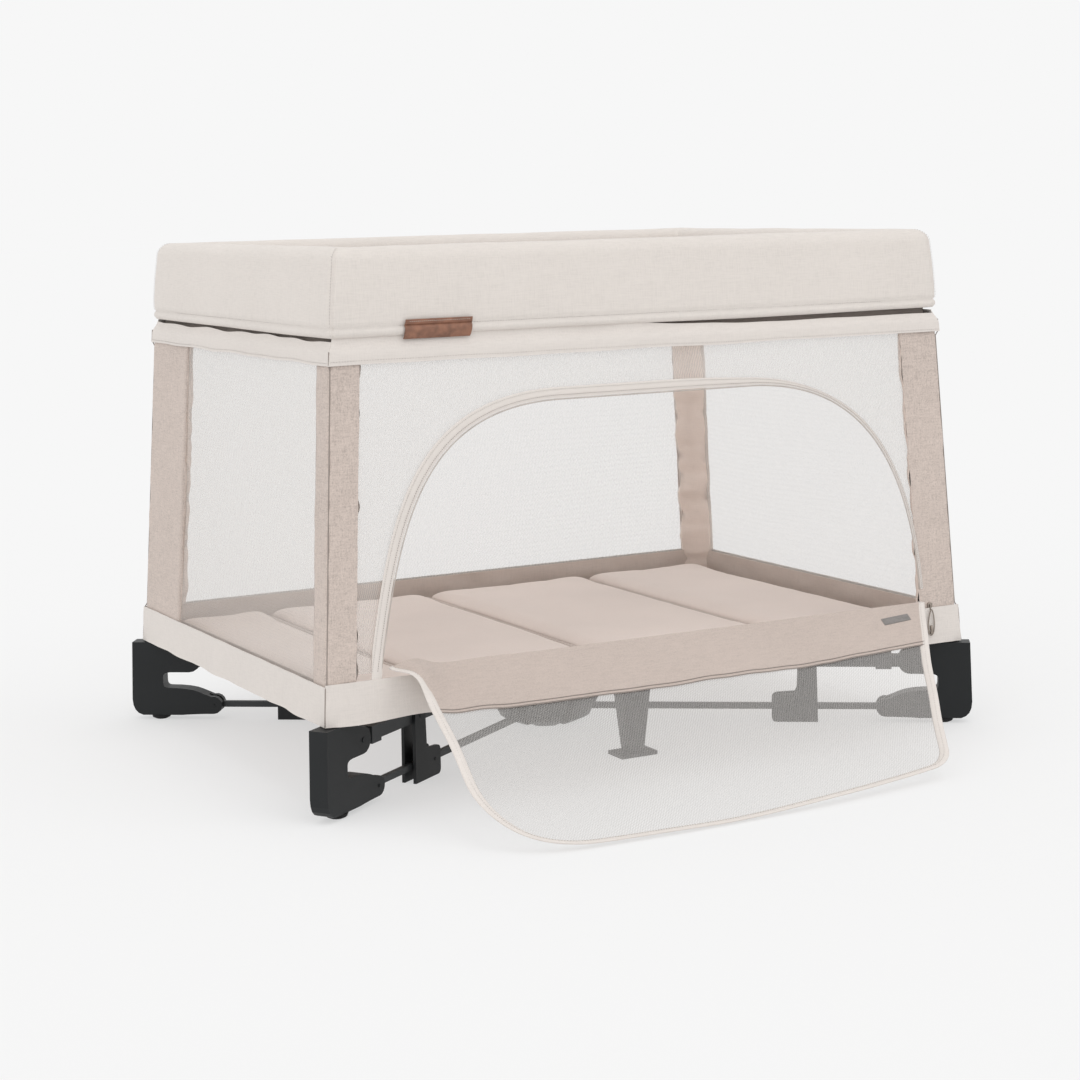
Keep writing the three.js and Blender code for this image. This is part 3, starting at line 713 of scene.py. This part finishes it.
def cover_spans(side):
    """The stretches of cover on one side as (end, body, start, stop): first half, middle, second half."""
    far, near = COVER_REACH[AXIS[side]], LATCH_HALF[AXIS[side]]
    first, second = ("left", "right") if AXIS[side] == 0 else ("front", "rear")
    return (
        (first, f"rail_{side}_{first}", -far, -near),
        ("middle", f"latch_{side}", -near, near),
        (second, f"rail_{side}_{second}", near, far),
    )


def make_cover():
    made = []
    for side in SIDES:
        first, middle, second = cover_spans(side)
        half_columns = 56 if AXIS[side] else 90
        stretches = ((first, half_columns), (second, half_columns), (middle, 22))
        for (end, body, start, stop), columns in stretches:
            made.append((straight_cover(f"cover_{side}_{end}", side, start, stop, columns), body, side))
    for corner in CORNERS:
        made.append((corner_cover(f"cover_corner_{corner}", corner), f"corner_{corner}", None))
    for piece, body, side in made:
        thicken(piece, CLOTH["cover"], -1.0)
        flatten(piece, body, side)
    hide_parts("rail_cover")


def make_cover_stitching():
    """The stitch row along the welt, split where the rails part."""
    z = HEM + WELT
    for side in SIDES:
        way = WAY[side]
        face = cover_lines(z)[0][1 - AXIS[side]] + padding(z, 0.0) + 0.0006
        for _, body, start, stop in cover_spans(side):
            route = []
            for n in range(41):
                along = mix(start, stop, n / 40)
                place = beside(side, along, way * face, z)
                crease = cover_crease(*place) + cover_gather(*place)
                route.append(place + beside(side, 0, way * crease))
            row = stitches(f"cover_stitches_{body}", route, "thread")
            flatten(row, body, side)


# ---------- walls ----------
def sleeve_reach(corner, side):
    return SLEEVE[corner][AXIS[side]]


def wall_ends(side, z, tuck=0.006):
    """Where a wall's mesh begins and ends along it, tucked a little behind the sleeves."""
    half = wall_half(z)[AXIS[side]]
    ends = (f"{side}_left", f"{side}_right") if AXIS[side] == 0 else (f"front_{side}", f"rear_{side}")
    first, last = (sleeve_reach(corner, side) for corner in ends)
    return -half + first - tuck, half - last + tuck


def billow(side, along, z):
    """How far a wall's cloth stands in or out between its fastenings."""
    height = (z - WALL_FOOT) / (WALL_TOP - WALL_FOOT)
    calm = math.sin(math.pi * min(max(height, 0), 1))
    own = 3 * SIDES.index(side)  # keeps the walls' billows apart
    return -0.003 * calm + 0.0016 * calm * ripple(along, z, own, 4.0)


def plain_net(side):
    def point(u, v):
        z = mix(NET_FOOT, NET_HEAD, v)
        start, end = wall_ends(side, z)
        along = mix(start, end, u)
        return on_wall(side, along, z, billow(side, along, z) - MESH_INSET)

    return surface(f"net_{side}", point, 60, 36, "net")


ARCH = {"half": (0.474, 0.487), "shoulder": (0.040, 0.012), "crown": 0.576, "crown_half": 0.165}


def arch_point(t, grow=0.0):
    """The arch from its left foot (t 0) over the crown to its right foot (t 1), as (x, z)."""
    mirrored = t > 0.5
    half, crown = ARCH["half"][mirrored] + grow, ARCH["crown"] + grow
    crown_half, shoulder = ARCH["crown_half"], ARCH["shoulder"][mirrored]
    s = 2 * (1 - t if mirrored else t)
    bend = 0.78
    if s < bend:
        k = s / bend
        foot, first = (half, SILL), (half - shoulder, SILL + (crown - SILL) * 0.55)
        second, last = (crown_half + 0.235 + grow, crown), (crown_half, crown)
        weights = ((1 - k) ** 3, 3 * k * (1 - k) ** 2, 3 * k * k * (1 - k), k**3)
        x = sum(w * p[0] for w, p in zip(weights, (foot, first, second, last)))
        z = sum(w * p[1] for w, p in zip(weights, (foot, first, second, last)))
    else:
        x, z = crown_half * (1 - (s - bend) / (1 - bend)), crown
    return (x if mirrored else -x), z


def front_net():
    """The front mesh: one panel drawn from the doorway's arch straight out to the strip and the sleeves."""
    def rim(x, z):
        """Where the ray from the sill's middle through an arch point leaves the wall's panel."""
        side = wall_ends("front", z)[0 if x < 0 else 1]
        to_top = (NET_HEAD - SILL) / max(z - SILL, 1e-6)
        to_side = side / x if abs(x) > 1e-6 else 1e6
        if to_side * (z - SILL) + SILL < NET_HEAD:
            place = SILL + (z - SILL) * to_side
            side = wall_ends("front", place)[0 if x < 0 else 1]
            return side, SILL + (z - SILL) * side / x
        return x * to_top, NET_HEAD

    def point(u, v):
        x, z = arch_point(u, 0.004)
        edge_x, edge_z = rim(x, z)
        x, z = mix(x, edge_x, v), mix(z, edge_z, v)
        return on_wall("front", x, z, billow("front", x, z) * 0.5 - MESH_INSET)

    return surface("net_front", point, 240, 16, "net")


def make_nets():
    for side, post in (("rear", "rear_left"), ("left", "rear_left"), ("right", "rear_right")):
        piece = plain_net(side)
        start, end = wall_ends(side, MESH_MIDDLE)
        hang(piece, side)
        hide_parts(f"wall_{side}")
    piece = front_net()
    hang(piece, "front")
    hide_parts("wall_front")
    start, end = wall_ends("front", MESH_MIDDLE)


def strip_drop(side, along):
    """How far the strip's upper edge hangs below the hem: the cloth has slipped down here and there."""
    if side == "front":
        return mix(-0.010, 0.0075, smooth((along + 0.25) / 0.45)) + 0.0012 * ripple(along, 0, 0, 14.0)
    if side == "left":
        return 0.0045 + 0.0040 * ripple(along, 0, 3, 12.0)
    return 0.001 + 0.003 * ripple(along, 0, 6, 7.0)


def make_strips():
    """The fabric strip under the rail cover that the mesh is sewn to, and a dark sheet behind it that is
    painted shade in the gap under the hem.
    """
    for side in SIDES:
        axis = AXIS[side]

        def point(u, v, side=side, axis=axis):
            guess = mix(-1, 1, u) * wall_half(STRIP_FOOT)[axis]
            foot = STRIP_FOOT + 0.0018 * ripple(u * 9, 0, len(side), 1.0)
            z = mix(foot, HEM - strip_drop(side, guess), v)
            out = mix(0.0034, -0.0040, smooth((z - 0.655) / 0.022))
            out += 0.0018 * ripple(guess, z, len(side), 16.0) * (1 - v * 0.5)
            along = mix(-1, 1, u) * (wall_half(z)[axis] + out)
            return on_wall(side, along, z, out)

        # a dark sheet set back behind the strip's top edge: painted shade in the gap under the hem
        def behind(u, v, side=side, axis=axis):
            z = mix(SHADE_SHEET_FOOT, SHADE_SHEET_HEAD, v)
            along = mix(-1, 1, u) * (wall_half(z)[axis] - 0.012)
            return on_wall(side, along, z, mix(-0.004, -0.014, smooth(v * 2)))

        piece = thicken(surface(f"strip_{side}", point, 170, 14, "strip"), CLOTH["strip"])
        # tape here is the dark sheet of painted shade under the hem
        tape = surface(f"strip_painted_shade_{side}", behind, 20, 6, "seam")
        proud = beside(side, 0, WAY[side] * 0.0010)
        route = [point(n / 160, 0.12) + proud for n in range(161)]
        row = stitches(f"strip_stitches_{side}", route, "thread")
        for part in (piece, tape, row):
            hang(part, side)


def make_bands():
    """The fabric band round the foot of the walls, outside and inside."""
    for side in SIDES:
        axis = AXIS[side]

        def outside(u, v, side=side, axis=axis):
            low = WALL_FOOT - 0.001 + 0.0035 * ripple(u * 11, 0, len(side) + 4, 1.0)
            z = mix(low, 0.196 if side == "front" else 0.193, v)
            guess = mix(-1, 1, u) * wall_half(z)[axis]
            hang_free = (1 - v) ** 2
            wave = 0.0035 * hang_free * ripple(guess, 0, len(side), 15.0)
            out = 0.0030 + wave + 0.0010 * ripple(guess, z, 2, 30.0)
            return on_wall(side, mix(-1, 1, u) * (wall_half(z)[axis] + out), z, out)

        def inside(u, v, side=side, axis=axis):
            z = mix(mattress_low.z, 0.192, v)
            half = wall_half(z)[axis] - 0.006
            along = mix(-half, half, u)
            wave = 0.0035 * ripple(along, z * 1.5, len(side) + 2, 13.0) + 0.0012 * ripple(along, z, 5, 40.0)
            return on_wall(side, along, z, -0.0085 + wave * math.sin(math.pi * v))

        for name, point, height in (("band", outside, 0.057), ("inner_band", inside, 0.046)):
            piece = thicken(surface(f"{name}_{side}", point, 160, 14, name), CLOTH["band"])
            hang(piece, side)


def sleeve_outline(corner, z):
    """The closed line of a sleeve at one height, anticlockwise seen from above for the +X +Y corner."""
    sign_x, sign_y = CORNERS[corner]
    half_x, half_y = wall_half(z)
    long_reach, short_reach = SLEEVE[corner]
    proud, edge = 0.0010, 0.007
    x, y = half_x + proud, half_y + proud
    points = []
    for n in range(12):
        points.append((mix(x - long_reach, x - edge, n / 12), y))
    for n in range(7):
        turn = math.pi / 2 * (1 - n / 6)
        points.append((x - edge + edge * math.cos(turn), y - edge + edge * math.sin(turn)))
    for n in range(1, 13):
        points.append((x, mix(y - edge, y - short_reach, n / 12)))
    tube = 0.016
    share = (z - post_low.z) / (post_high.z - post_low.z)
    post_x, post_y = (mix(foot, head, share) for foot, head in zip(POST_FOOT, POST_HEAD))
    points += [
        (x - 0.006, y - short_reach),
        (x - 0.009, max(y - short_reach, post_y - tube - 0.012)),
        (post_x + tube * 0.2, post_y - tube * 1.1),
        (post_x - tube * 0.8, post_y - tube * 0.8),
        (post_x - tube * 1.1, post_y + tube * 0.2),
        (max(x - long_reach, post_x - tube - 0.012), y - 0.009),
        (x - long_reach, y - 0.006),
        (x - long_reach + 0.0004, y - 0.0006),
    ]
    return [(sign_x * a, sign_y * b) for a, b in points]


def sleeve(corner):
    """A corner's sleeve, whose inner faces take a lighter copy of its cloth as painted light, and the seam
    down its edge.
    """
    low, high = floor_high.z + 0.006, STRIP_FOOT + 0.02
    rows, outer_points = 120, 31
    sign_x, sign_y = CORNERS[corner]
    points = []
    for j in range(rows):
        z = mix(low, high, j / (rows - 1))
        outline = [Vector((a, b, z)) for a, b in sleeve_outline(corner, z)]
        count = len(outline)
        for n, place in enumerate(outline):
            before, after = outline[n - 1], outline[(n + 1) % count]
            ahead = (after - before).normalized()
            out = Vector((ahead.y, -ahead.x, 0)) * (sign_x * sign_y)
            depth = 0.0060 if n >= outer_points else 0.0014
            around = n / count
            slant = z * 26 + around * 6
            crinkle = depth * ripple(around * 3, sign_x, slant, 1.0)
            crinkle += depth * 0.5 * ripple(around * 9, 2 + sign_y, z * 60, 1.0)
            points.append(place - out * crinkle)
    count = len(sleeve_outline(corner, low))
    piece = mesh_piece(f"sleeve_{corner}", points, grid_faces(count, rows), "sleeve")
    # the inner faces get the lighter copy of the cloth: painted light on faces that stand in shade
    piece.data.materials.append(LOOKS["lit_inner_sleeve"])
    for k, face in enumerate(piece.data.polygons):
        face.material_index = 1 if k % (count - 1) >= outer_points else 0
    attach(piece, f"corner_{corner}")
    around = sum(SLEEVE[corner]) * 2
    seam = []
    for j in range(60):
        z = mix(WALL_FOOT, STRIP_FOOT + 0.02, j / 59)
        half_x, half_y = wall_half(z)
        proud = -0.0008 + 0.0038 * (smooth((0.197 - z) / 0.006) + smooth((z - STRIP_FOOT + 0.003) / 0.005))
        seam.append((sign_x * (half_x + proud), sign_y * (half_y + proud), z))
    line = rope(f"corner_seam_{corner}", seam, 0.0009, "seam", up=Vector((1, 0.3, 0)))
    attach(line, f"corner_{corner}")


# ---------- doorway and flap ----------
def make_border():
    """The tape round the doorway, its zip and its two rows of stitching."""
    last, foot = 0.985, 0.02  # shares of the arch: where the tape ends, and where its foot is turned in

    def narrowing(t):
        return 1 - 0.72 * smooth((t - 0.52) / 0.2)

    def point(u, v):
        t = u * last
        x, z = arch_point(t, BORDER * narrowing(t) * v)
        if t < foot:
            z = mix(SILL - 0.022, z, smooth(t / foot))
        edge = 0.0012 * math.sin(math.pi * v)
        return on_wall("front", x, z, 0.0016 + edge + billow("front", x, z) * 0.3)

    tape = thicken(surface("door_border", point, 200, 7, "border"), CLOTH["tape"])
    hang(tape, "front")
    for name, grow, look in (("inner", 0.0045, "seam"), ("outer", BORDER - 0.003, "thread")):
        route = []
        for n in range(161):
            t = n / 160 * last
            x, z = arch_point(t, grow * narrowing(t))
            route.append(on_wall("front", x, z, 0.0036 + billow("front", x, z) * 0.3))
        row = stitches(f"door_stitches_{name}", route, look, pitch=0.0034, length=0.0026, radius=0.0005)
        hang(row, "front")
    route = [on_wall("front", *arch_point(n / 200 * last, -0.0018), 0.0014) for n in range(201)]
    coil = rope("door_zip_coil", route, 0.0011, "teeth", up=Vector((0, 1, 0)), flat=0.5)
    hang(coil, "front")


FLAP_STRIP = 0.098  # depth of the fabric strip along the sill
FLAP_SAG = 0.010
FLAP_CORNERS = (  # place along the sill, distance out from it, how far the corner's rounding reaches
    (-0.457, 0.000, 0.0),
    (-0.424, 0.050, 0.03),
    (-0.432, 0.367, 0.13),
    (-0.020, 0.381, 0.20),
    (0.312, 0.338, 0.03),
    (0.484, 0.000, 0.0),
)
FLAP_LENGTH = math.hypot(FLAP_TIP[0] - HINGE_Y, SILL - FLAP_TIP[1])


def rounded_line(corners, steps=14):
    """A polyline through corners (x, y, reach), each rounded over its reach."""
    line = []
    for k, (x, y, reach) in enumerate(corners):
        here = Vector((x, y))
        if not reach:
            line.append(here)
            continue
        before = here + (Vector(corners[k - 1][:2]) - here).normalized() * reach
        after = here + (Vector(corners[k + 1][:2]) - here).normalized() * reach
        for n in range(steps + 1):
            t = n / steps
            line.append(before * (1 - t) ** 2 + here * (2 * t * (1 - t)) + after * t * t)
    return line


def even_line(line, count):
    """The same polyline as count points at even distances."""
    distances = travelled(line)
    wanted = np.linspace(0, distances[-1], count)
    xs = np.interp(wanted, distances, [p[0] for p in line])
    ys = np.interp(wanted, distances, [p[1] for p in line])
    return [Vector((x, y)) for x, y in zip(xs, ys)]


FLAP_OUTLINE = even_line(rounded_line(FLAP_CORNERS), 260)


def flap_side(way, s):
    """Where the flap's left (-1) or right (1) side lies at s metres out from the sill."""
    crown = max(range(len(FLAP_OUTLINE)), key=lambda k: FLAP_OUTLINE[k].y)
    part = FLAP_OUTLINE[: crown + 1] if way < 0 else FLAP_OUTLINE[crown:][::-1]
    return float(np.interp(s, [p.y for p in part], [p.x for p in part]))


def flap_wave(x, s):
    """Height of the flap's folds above its slope: a curl by its left end and soft ripples."""
    curl = 0.022 * math.exp(-(((x + 0.425) / 0.030) ** 2) - ((s - 0.020) / 0.035) ** 2)
    fold = 0.006 * math.exp(-(((x + 0.30 + s * 0.6) / 0.04) ** 2)) * math.exp(-(((s - 0.10) / 0.09) ** 2))
    edge = 0.010 * math.exp(-(((x + 0.43) / 0.03) ** 2)) * smooth(s / 0.05) * smooth((0.25 - s) / 0.1)
    soft = 0.0045 * ripple(x * 1.2, s * 2.2, 4, 5.0) * smooth(s / 0.1)
    return curl + fold + edge + soft + 0.002


def ramp_point(x, s, lift=0.0):
    """A point of the open flap, s metres out from the sill along its slope, with its sag and folds."""
    run, drop = FLAP_TIP[0] - HINGE_Y, SILL - FLAP_TIP[1]
    ahead = Vector((0, run, -drop)).normalized()
    up = Vector((0, -drop, -run)).normalized()
    sag = FLAP_SAG * math.sin(math.pi * min(max(s / FLAP_LENGTH, 0), 1) ** 0.7)
    place = Vector((x, HINGE_Y, SILL - 0.001)) + ahead * s + up * (flap_wave(x, s) + lift - sag)
    place.z = max(place.z, 0.0035 + lift)
    return place


def flap_strip_depth(x):
    return FLAP_STRIP + 0.0028 * ripple(x, 0, 1, 16.0) - 0.012 * smooth((x - 0.2) / 0.25)


def flap_strip_line(u, inset=0.0):
    """A point on the strip's lower edge, as (x, s)."""
    x = mix(-0.42, 0.44, u)
    s = flap_strip_depth(x) - inset
    return mix(flap_side(-1, s), flap_side(1, s), u), s


def make_flap():
    columns = 170
    rim = [p for p in FLAP_OUTLINE if p.y > FLAP_STRIP - 0.012]
    rim = even_line(rim, columns)

    def mesh_point(u, v):
        x0, s0 = flap_strip_line(u, 0.008)
        edge = rim[round(u * (columns - 1))]
        return ramp_point(mix(x0, edge.x, v), mix(s0, edge.y, v))

    def strip_point(u, v):
        s = v * flap_strip_line(u)[1]
        return ramp_point(mix(flap_side(-1, s), flap_side(1, s), u), s, 0.0014)

    panel = surface("flap_net", mesh_point, columns, 60, "flap_net")
    strip = thicken(surface("flap_strip", strip_point, columns, 16, "sill"), CLOTH["flap_strip"])
    lines = []
    for name, inset in (("edge", 0.0), ("second", 0.006)):
        route = [ramp_point(*flap_strip_line(n / 160, inset), 0.0024) for n in range(161)]
        lines.append(rope(f"flap_strip_{name}", route, 0.0008, "seam"))

    def vent_point(u, v):
        return ramp_point(mix(0.392, 0.446, u), mix(0.020, 0.033, v) + 0.004 * (1 - u), 0.0026)

    vent = thicken(surface("flap_vent", vent_point, 16, 5, "vent"), CLOTH["vent"])
    lines.append(vent)
    route = [ramp_point(p.x, p.y, 0.001) for p in FLAP_OUTLINE]
    binding = rope("flap_binding", route, 0.0074, "border", sides=10, flat=0.30)
    stitch = stitches("flap_binding_stitches", [p + Vector((0, 0, 0.0025)) for p in route], "thread")
    for piece in (panel, strip, *lines, binding, stitch):
        crumple(piece, "door_flap", (1, 0, 0), "front_left")
    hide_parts("door_flap")


# ---------- mattress and floor ----------
FOLDS = (-0.355, -0.050, 0.275)  # where the mattress folds, along its length
PANEL_GAP = 0.0012  # from a panel's end to its fold
PANEL_SWELL = 0.005  # a panel is cut this much thinner, above and below, before it is filled
MATTRESS_INSET = 0.004


def evaluated_mesh(piece):
    """The piece's mesh with its modifiers worked in."""
    graph = bpy.context.evaluated_depsgraph_get()
    return bpy.data.meshes.new_from_object(piece.evaluated_get(graph))


def mesh_places(mesh):
    places = np.empty(len(mesh.vertices) * 3)
    mesh.vertices.foreach_get("co", places)
    return places.reshape(-1, 3)


def swell(piece, voxel, pressure, reach):
    """Fills a closed piece like a cushion by a short cloth simulation; no point moves beyond reach."""
    remesh = piece.modifiers.new("voxels", "REMESH")
    remesh.mode = "VOXEL"
    remesh.voxel_size = voxel
    mesh = evaluated_mesh(piece)
    piece.modifiers.clear()
    piece.data = mesh
    start = mesh_places(mesh)
    cloth = piece.modifiers.new("cloth", "CLOTH")
    cloth.settings.use_pressure = True
    cloth.settings.uniform_pressure_force = pressure
    cloth.settings.effector_weights.gravity = 0
    for step in range(1, 21):
        bpy.context.scene.frame_set(step)
    moved = mesh_places(evaluated_mesh(piece)) - start
    piece.modifiers.clear()
    bpy.context.scene.frame_set(1)
    length = np.maximum(np.linalg.norm(moved, axis=1, keepdims=True), 1e-9)
    mesh.vertices.foreach_set("co", (start + moved * np.minimum(1, reach / length)).ravel())
    mesh.polygons.foreach_set("use_smooth", [True] * len(mesh.polygons))


def panel_block(name, left, right, half_y, low, high):
    """A closed slab with rounded ends: what a mattress panel is before it is filled."""
    radius, steps = 0.012, 5
    outline = []
    for n, (x, y) in enumerate(((right, half_y), (left, half_y), (left, -half_y), (right, -half_y))):
        middle = (x - math.copysign(radius, x - (left + right) / 2), y - math.copysign(radius, y))
        for k in range(steps + 1):
            turn = math.pi / 2 * (n + k / steps)
            outline.append((middle[0] + radius * math.cos(turn), middle[1] + radius * math.sin(turn)))
    edge = (high - low) / 2 * 0.7
    points, count = [], len(outline)
    for z, inset in ((low, edge), (low + edge, 0.0), (high - edge, 0.0), (high, edge)):
        for x, y in outline:
            away = Vector((x - (left + right) / 2, y))
            scale = (away.length - inset) / away.length
            points.append(((left + right) / 2 + away.x * scale, away.y * scale, z))
    faces = grid_faces(count, 4, closed=True)
    faces += [tuple(range(count - 1, -1, -1)), tuple(3 * count + n for n in range(count))]
    return mesh_piece(name, points, faces, "mattress")


def make_mattress():
    """A pad of four filled panels that are sewn together at the folds."""
    low, high = mattress_low.z, mattress_high.z
    half_x, half_y = mattress_high.x - MATTRESS_INSET, mattress_high.y - MATTRESS_INSET
    stops = (-half_x, *FOLDS, half_x)
    for k, (left, right) in enumerate(zip(stops, stops[1:])):
        ends = (left + PANEL_GAP, right - PANEL_GAP)
        levels = (low + PANEL_SWELL, high - PANEL_SWELL)
        pad = panel_block(f"mattress_panel_{k + 1}", *ends, half_y, *levels)
        swell(pad, voxel=0.006, pressure=4.0, reach=0.007)
        mesh = pad.data
        places = mesh_places(mesh)
        for place in places:
            x, y, z = place
            above = smooth((z - low - 0.010) / 0.010)
            to_edge = min(x - left, right - x, half_y - abs(y))
            tuck = 0.0012 * ripple(x * 2, y * 0.8, 9, 14.0) * math.exp(-max(to_edge, 0) / 0.03)
            soft = 0.0016 * ripple(x, y, 7, 4.5) + 0.0007 * ripple(x * 0.6, y, 2, 17.0)
            place[2] = max(z + above * (tuck + soft), low + 0.0006)
        mesh.vertices.foreach_set("co", places.ravel())
        smoother = pad.modifiers.new("smoother", "SUBSURF")
        smoother.levels = smoother.render_levels = 1
        attach(pad, "mattress")
        if k == 0:
            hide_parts("mattress")
    for k, fold in enumerate(FOLDS):
        web = [(fold, mix(-half_y + 0.012, half_y - 0.012, n / 40), high - 0.0125) for n in range(41)]
        seam = rope(f"mattress_seam_{k + 1}", web, 0.0040, "inner_band")
        attach(seam, "mattress")


def make_fold_strap():
    """The webbing strap under the floor's middle that is pulled to fold the frame."""
    top = floor_high.z + 0.0010
    route = []
    for n in range(33):
        turn = math.pi * n / 32
        route.append((0.055 * math.cos(turn), 0.0, top + 0.0006 + 0.0009 * math.sin(turn)))
    strap = rope("fold_strap", route, 0.012, "band", sides=8, flat=0.06)
    attach(strap, "hub")


def make_floor_cloth():
    """The fabric floor: four quarters that ride on the arms, each with a mesh of its own."""
    reach = (floor_high.x, floor_high.y)
    chamfer = 0.015
    for corner, (x, y) in CORNERS.items():

        def point(u, v, x=x, y=y):
            a, b = u * reach[0], v * reach[1]
            over = a / reach[0] + b / reach[1] - (2 - chamfer / reach[1])
            if over > 0:
                a, b = a * (1 - over * 0.5), b * (1 - over * 0.5)
            sag = 0.004 * ripple(x * a, y * b, 1, 5.0) * math.sin(math.pi * u) * math.sin(math.pi * v)
            return Vector((x * a, y * b, floor_low.z + 0.002 + sag))

        piece = thicken(surface(f"floor_cloth_{corner}", point, 40, 30, "floor_cloth"), CLOTH["floor"])
        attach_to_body(piece, f"arm_{corner}")
        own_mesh(piece)
        if corner == "front_left":
            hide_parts("floor_base")


# ---------- trim ----------
def make_tag():
    """The leather tag, folded over the welt and stitched, with nothing printed on it."""
    width = tag_high.x - tag_low.x
    middle = (tag_low.x + tag_high.x) / 2

    def point(u, v):
        x = middle + (u - 0.5) * width
        x += mix(-0.0035, 0.001, v) * 0.6
        z = mix(tag_low.z + 0.002, tag_high.z + 0.002, v)
        face = cover_lines(max(z, HEM))[0][1] + padding(z, 0.0) + 0.0022
        curl = 0.004 * (1 - smooth(v / 0.16))
        return Vector((x, -face + curl * 0.6 + 0.0004 * ripple(x, 0, z, 60.0), z))

    tag = thicken(surface("tag", point, 50, 24, "leather"), CLOTH["leather"], 1.0)
    bevel = tag.modifiers.new("edge", "BEVEL")
    bevel.width = 0.0005
    bevel.segments = 2
    bevelled = evaluated_mesh(tag)
    tag.modifiers.clear()
    tag.data = bevelled
    flatten(tag, "rail_front_left", "front")
    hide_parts("leather_tag")
    z = tag_high.z - 0.001
    face = cover_lines(z)[0][1] + padding(z, 0.0) + 0.0046
    route = [(mix(tag_low.x + 0.004, tag_high.x - 0.004, n / 20), -face, z) for n in range(21)]
    row = stitches("tag_stitches", route, "border", pitch=0.0032, length=0.0022, radius=0.0005)
    flatten(row, "rail_front_left", "front")


def make_zip_pull():
    """A wire loop with a cord tab, hung on the slider."""
    x = (pull_low.x + pull_high.x) / 2
    y = pull_low.y + 0.0005
    top = pull_high.z - 0.002
    length = pull_high.z - pull_low.z
    route = []
    for n in range(33):
        turn = 2 * math.pi * n / 32
        half_width = 0.0045 + 0.0028 * (1 - math.cos(turn)) / 2
        route.append((x + half_width * math.sin(turn), y, top - length * 0.5 * (1 - math.cos(turn))))
    loop = rope("zip_loop", route, 0.0010, "zip", sides=8, up=Vector((0, 1, 0)))
    tab_top = top - length * 0.62
    hang_line = [(x, y, tab_top), (x + 0.001, y, tab_top - 0.009), (x, y, pull_low.z)]
    tab = rope("zip_cord_tab", hang_line, 0.0022, "zip", sides=8, up=Vector((0, 1, 0)))
    for piece in (loop, tab):
        crumple(piece, "zip_pull", (1, 0, 0), "front_left")
    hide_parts("zip_pull")


def make_zip_slider():
    """The slider at the zip's lower end: a waisted body with a bridge over it that holds the pull."""
    middle = (slider_low + slider_high) / 2
    half = (slider_high - slider_low) / 2
    columns, rows = 24, 15

    def body(u, v):
        turn = 2 * math.pi * u
        waist = 1 - 0.22 * math.sin(math.pi * v) ** 2 * abs(math.cos(turn))
        z = mix(slider_low.z, slider_high.z, v)
        taper = mix(0.82, 1.0, v) * min(1.0, 0.55 + 3.5 * min(v, 1 - v))
        corner = max(abs(math.cos(turn)), abs(math.sin(turn)))
        x = math.cos(turn) / corner * half.x * waist * taper
        y = math.sin(turn) / corner * half.y * 0.62
        return Vector((middle.x + x, middle.y + half.y * 0.35 + y, z))

    shape = surface("zip_slider_body", body, columns, rows, "zip", closed=True)
    caps = [tuple(range(columns - 1, -1, -1)), tuple((rows - 1) * columns + n for n in range(columns))]
    solid = bmesh.new()
    solid.from_mesh(shape.data)
    solid.verts.ensure_lookup_table()
    for cap in caps:
        solid.faces.new([solid.verts[n] for n in cap])
    solid.to_mesh(shape.data)
    solid.free()
    route = []
    for n in range(17):
        turn = math.pi * n / 16
        y = middle.y - half.y * (0.25 + 0.6 * math.sin(turn))
        route.append((middle.x, y, middle.z + half.z * 0.62 * math.cos(turn)))
    bridge = rope("zip_slider_bridge", route, 0.0011, "zip", sides=8, up=Vector((1, 0, 0)))
    for piece in (shape, bridge):
        crumple(piece, "corner_front_left", (1, 0, 0), "front_left")
    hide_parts("zip_slider")


# ---------- frame finishes ----------
def dress_frame():
    """Gives every CAD node that stays its own finish and softly rounded edges."""
    finishes = {
        "corner_boot": ("plastic", 0.0022),
        "mid_leg": ("plastic", 0.0016),
        "top_corner": ("plastic", 0.0050),
        "latch_button": ("button", 0.0010),
        "latch": ("plastic", 0.0014),
        "side_support": ("plastic", 0.0014),
        "hub_housing": ("plastic", 0.0014),
        "side_strut": ("steel", 0.0010),
        "upper_arm": ("steel", 0.0010),
        "lower_rod": ("steel", 0.0010),
        "corner_post": ("tube", 0.0),
        "rail": ("tube", 0.0006),
        "foot_pad": ("rubber", 0.0010),
    }
    for name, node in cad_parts.items():
        if node.hide_render:
            continue
        look, round_edge = next(v for k, v in finishes.items() if name.startswith(k))
        node.data.materials.clear()
        node.data.materials.append(LOOKS[look])
        if round_edge:
            bevel = node.modifiers.new("edge", "BEVEL")
            bevel.width = round_edge
            bevel.segments = 3
            bevel.limit_method = "ANGLE"
            bevel.angle_limit = math.radians(32)


place_camera()
place_lights()
place_floor()
make_cover()
make_cover_stitching()
make_nets()
make_strips()
make_bands()
for corner_name in CORNERS:
    sleeve(corner_name)
make_border()
make_flap()
make_mattress()
make_fold_strap()
make_floor_cloth()
make_tag()
make_zip_pull()
make_zip_slider()
dress_frame()
